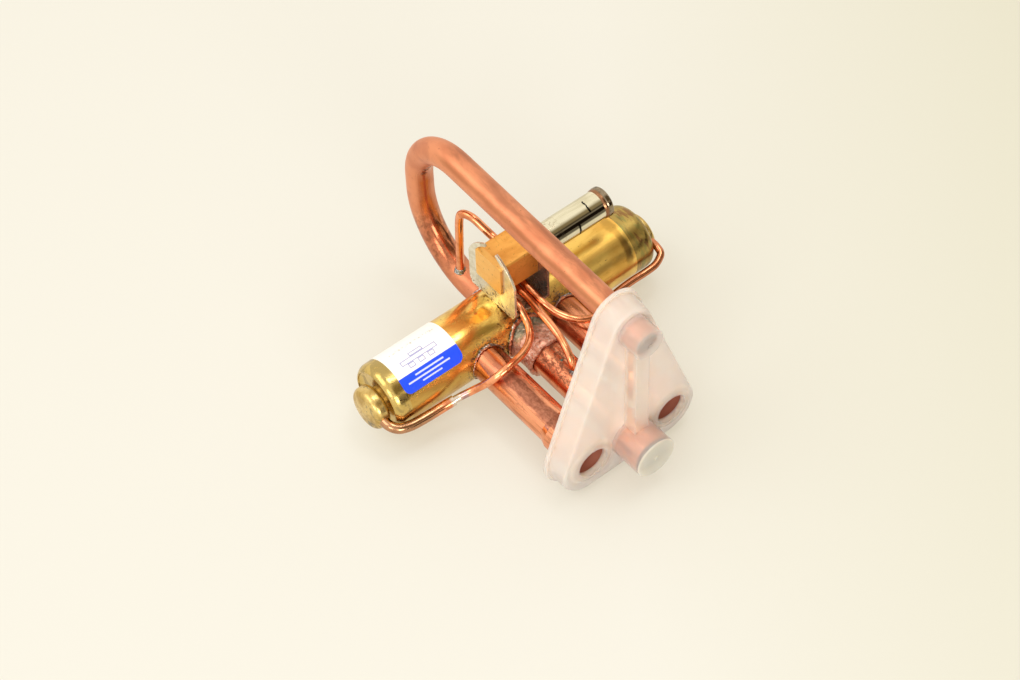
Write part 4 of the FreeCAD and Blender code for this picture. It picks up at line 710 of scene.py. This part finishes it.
def milky_plastic():
    """Cloudy mouldings: clearer where they touch the copper, milkier seen edge-on."""
    f = Finish("milky_plastic", IOR=1.4, Subsurface_Weight=0.9,
               Subsurface_Radius=(1.0, 0.85, 0.7), Subsurface_Scale=0.005)
    cloudy = f.cloud(7, (1, 1, 1), (2, 4, 9), 3, 0.5)
    colour = f.mix("FFEEE0", "FFE3D3", cloudy)
    f.set("Roughness", f.plus(f.times(cloudy, 0.1), 0.34))
    edge = f.add("ShaderNodeLayerWeight")
    edge.inputs["Blend"].default_value = 0.5
    steep = f.calc("POWER", edge.outputs["Facing"], 3.0)
    # The bosses' walls are the clearest, the long boss's end the milkiest.
    front = f.rise(f.y, -66.5, -64.5, 1.0, 0.0)
    ends = f.times(f.within(f.z, -9, 9, 0.5), f.rise(f.y, -77.3, -76.9, 1.0, 0.0))
    solid = f.minus(0.65, f.times(front, 0.34))
    solid = f.plus(solid, f.times(ends, 0.5))
    f.set("Base Color", f.mix(colour, "FFE6CC", ends))
    f.set("Alpha", f.plus(solid, f.times(steep, 0.3), True))
    f.bump(f.cloud(3, detail=2), 0.04)
    return f.material


FINISHES = {
    tarnished_brass: ("barrel",),
    end_brass: ("left_end", "right_end", "valve_seat", "pilot_seat"),
    plug_brass: ("left_end_plug", "right_end_plug"),
    loop_copper: ("discharge_tube", "discharge_tube_end"),
    drawn_copper: ("suction_tube", "evaporator_tube", "condenser_tube", "core_braze"),
    capillary_copper: ("discharge_capillary", "left_capillary", "left_plug_tube",
                       "suction_capillary", "right_capillary"),
    silver_braze: ("suction_solder", "evaporator_solder", "condenser_solder",
                   "discharge_solder", "suction_capillary_solder",
                   "discharge_capillary_solder"),
    burnt_sleeve: ("suction_sleeve",),
    milled_brass: ("pilot_block",),
    plated_steel: ("pilot_bracket",),
    bright_stainless: ("pilot_sleeve",),
    dark_core: ("fixed_core",),
    plain_steel: ("slide_carrier", "left_piston_plates", "right_piston_plates",
                  "left_piston_screws", "right_piston_screws", "plunger", "return_spring"),
    pale_plastic: ("main_slide", "left_piston_seal", "right_piston_seal", "pilot_slide"),
    printed_label: ("label",),
    milky_plastic: ("protective_cap", "cap_left_face", "cap_right_face", "cap_skirt"),
}
made = {}
for make, names in FINISHES.items():
    material = make()
    made[make.__name__] = material
    for name in names:
        item = nodes[name]
        item.data.materials.clear()
        item.data.materials.append(material)


# New pieces

# Points of a mesh that are nearer to each other than this, in metres, are the same point.
SAME_POINT = 0.000004


def copied(name, *sources):
    """A new piece: one merged copy of these nodes' meshes."""
    copies = []
    for source in sources:
        item = bpy.data.objects.new(name, nodes[source].data.copy())
        bpy.context.scene.collection.objects.link(item)
        item.select_set(True)
        copies.append(item)
    bpy.context.view_layer.objects.active = copies[0]
    if len(copies) > 1:
        bpy.ops.object.join()
    item = bpy.context.view_layer.objects.active
    bpy.ops.object.mode_set(mode="EDIT")
    bpy.ops.mesh.select_all(action="SELECT")
    bpy.ops.mesh.customdata_custom_splitnormals_clear()
    bpy.ops.mesh.remove_doubles(threshold=SAME_POINT)
    bpy.ops.object.mode_set(mode="OBJECT")
    item.select_set(False)
    item.name = name
    return item


def worked(item, kind, **values):
    """Add a modifier with these settings and apply it."""
    modifier = item.modifiers.new(kind.lower(), kind)
    for key, value in values.items():
        setattr(modifier, key, value)
    bpy.context.view_layer.objects.active = item
    item.select_set(True)
    bpy.ops.object.modifier_apply(modifier=modifier.name)
    item.select_set(False)


def smooth(item, angle):
    """Smooth shading, with edges kept where faces meet at more degrees than this."""
    item.select_set(True)
    bpy.context.view_layer.objects.active = item
    bpy.ops.object.shade_smooth_by_angle(angle=math.radians(angle))
    item.select_set(False)


def lumpy(item, voxel, size, depth, slim, passes=2):
    """Rough, run metal: an even skin, softened, slimmed, then pushed in and out by three noises.

    All measures are in millimetres.
    """
    worked(item, "REMESH", mode="VOXEL", voxel_size=voxel / 1000, use_smooth_shade=True)
    worked(item, "SMOOTH", factor=0.5, iterations=passes)
    if slim:
        worked(item, "DISPLACE", strength=-slim / 1000, mid_level=0.0)
    for number, (scale, push) in enumerate(((size, depth), (size * 0.4, depth * 0.45),
                                            (size * 0.18, depth * 0.2))):
        noise = bpy.data.textures.new(item.name + "_noise" + str(number), "CLOUDS")
        noise.noise_scale = scale / 1000
        noise.noise_depth = 2
        worked(item, "DISPLACE", texture=noise, strength=push / 1000, mid_level=0.5)
    smooth(item, 80)


def dress(item, body, material, slot, *stands_for):
    """Gives a new piece its finish and body, and hides the nodes that it stands for. The slot is not
    used.
    """
    item.data.materials.clear()
    item.data.materials.append(made[material])
    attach(item, body)
    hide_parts(*stands_for)


def make_clear_cap():
    """The cap as one moulding: faces and skirt joined, with soft edges."""
    cap = copied("clear_cap", "protective_cap")
    for source in ("cap_left_face", "cap_right_face", "cap_skirt"):
        other = copied("clear_" + source, source)
        worked(cap, "BOOLEAN", operation="UNION", object=other, solver="EXACT")
        bpy.data.objects.remove(other)
    worked(cap, "BEVEL", width=0.00022, segments=2, limit_method="ANGLE",
           angle_limit=math.radians(38))
    smooth(cap, 40)
    dress(cap, "cap", "milky_plastic", "cap_plastic", "protective_cap", "cap_left_face",
          "cap_right_face", "cap_skirt")


def make_braze():
    for name, voxel, size, depth, slim in (("evaporator_solder", 0.22, 1.6, 0.5, 0.5),
                                           ("condenser_solder", 0.22, 1.6, 0.5, 0.5),
                                           ("discharge_solder", 0.22, 1.6, 0.5, 0.1),
                                           ("suction_solder", 0.24, 1.8, 0.8, 0.1),
                                           ("suction_capillary_solder", 0.16, 0.9, 0.25, 0),
                                           ("discharge_capillary_solder", 0.16, 0.9, 0.25, 0)):
        item = copied(name + "_run", name)
        lumpy(item, voxel, size, depth, slim)
        dress(item, "valve", "silver_braze", "braze", name)
    sleeve = copied("sleeve_run", "suction_sleeve")
    lumpy(sleeve, 0.26, 3.6, 1.3, 0.1, 3)
    dress(sleeve, "valve", "burnt_sleeve", "tube_copper", "suction_sleeve")


def soften(name, width):
    """Soft edges of this width in millimetres on a node, by modifiers that leave its mesh as it is."""
    item = nodes[name]
    weld = item.modifiers.new("weld", "WELD")
    weld.merge_threshold = SAME_POINT
    bevel = item.modifiers.new("edge", "BEVEL")
    bevel.width = width / 1000
    bevel.segments = 2
    bevel.limit_method = "ANGLE"
    bevel.angle_limit = math.radians(35)
    bevel.harden_normals = True


make_clear_cap()
make_braze()
soften("pilot_block", 0.25)
soften("pilot_bracket", 0.12)
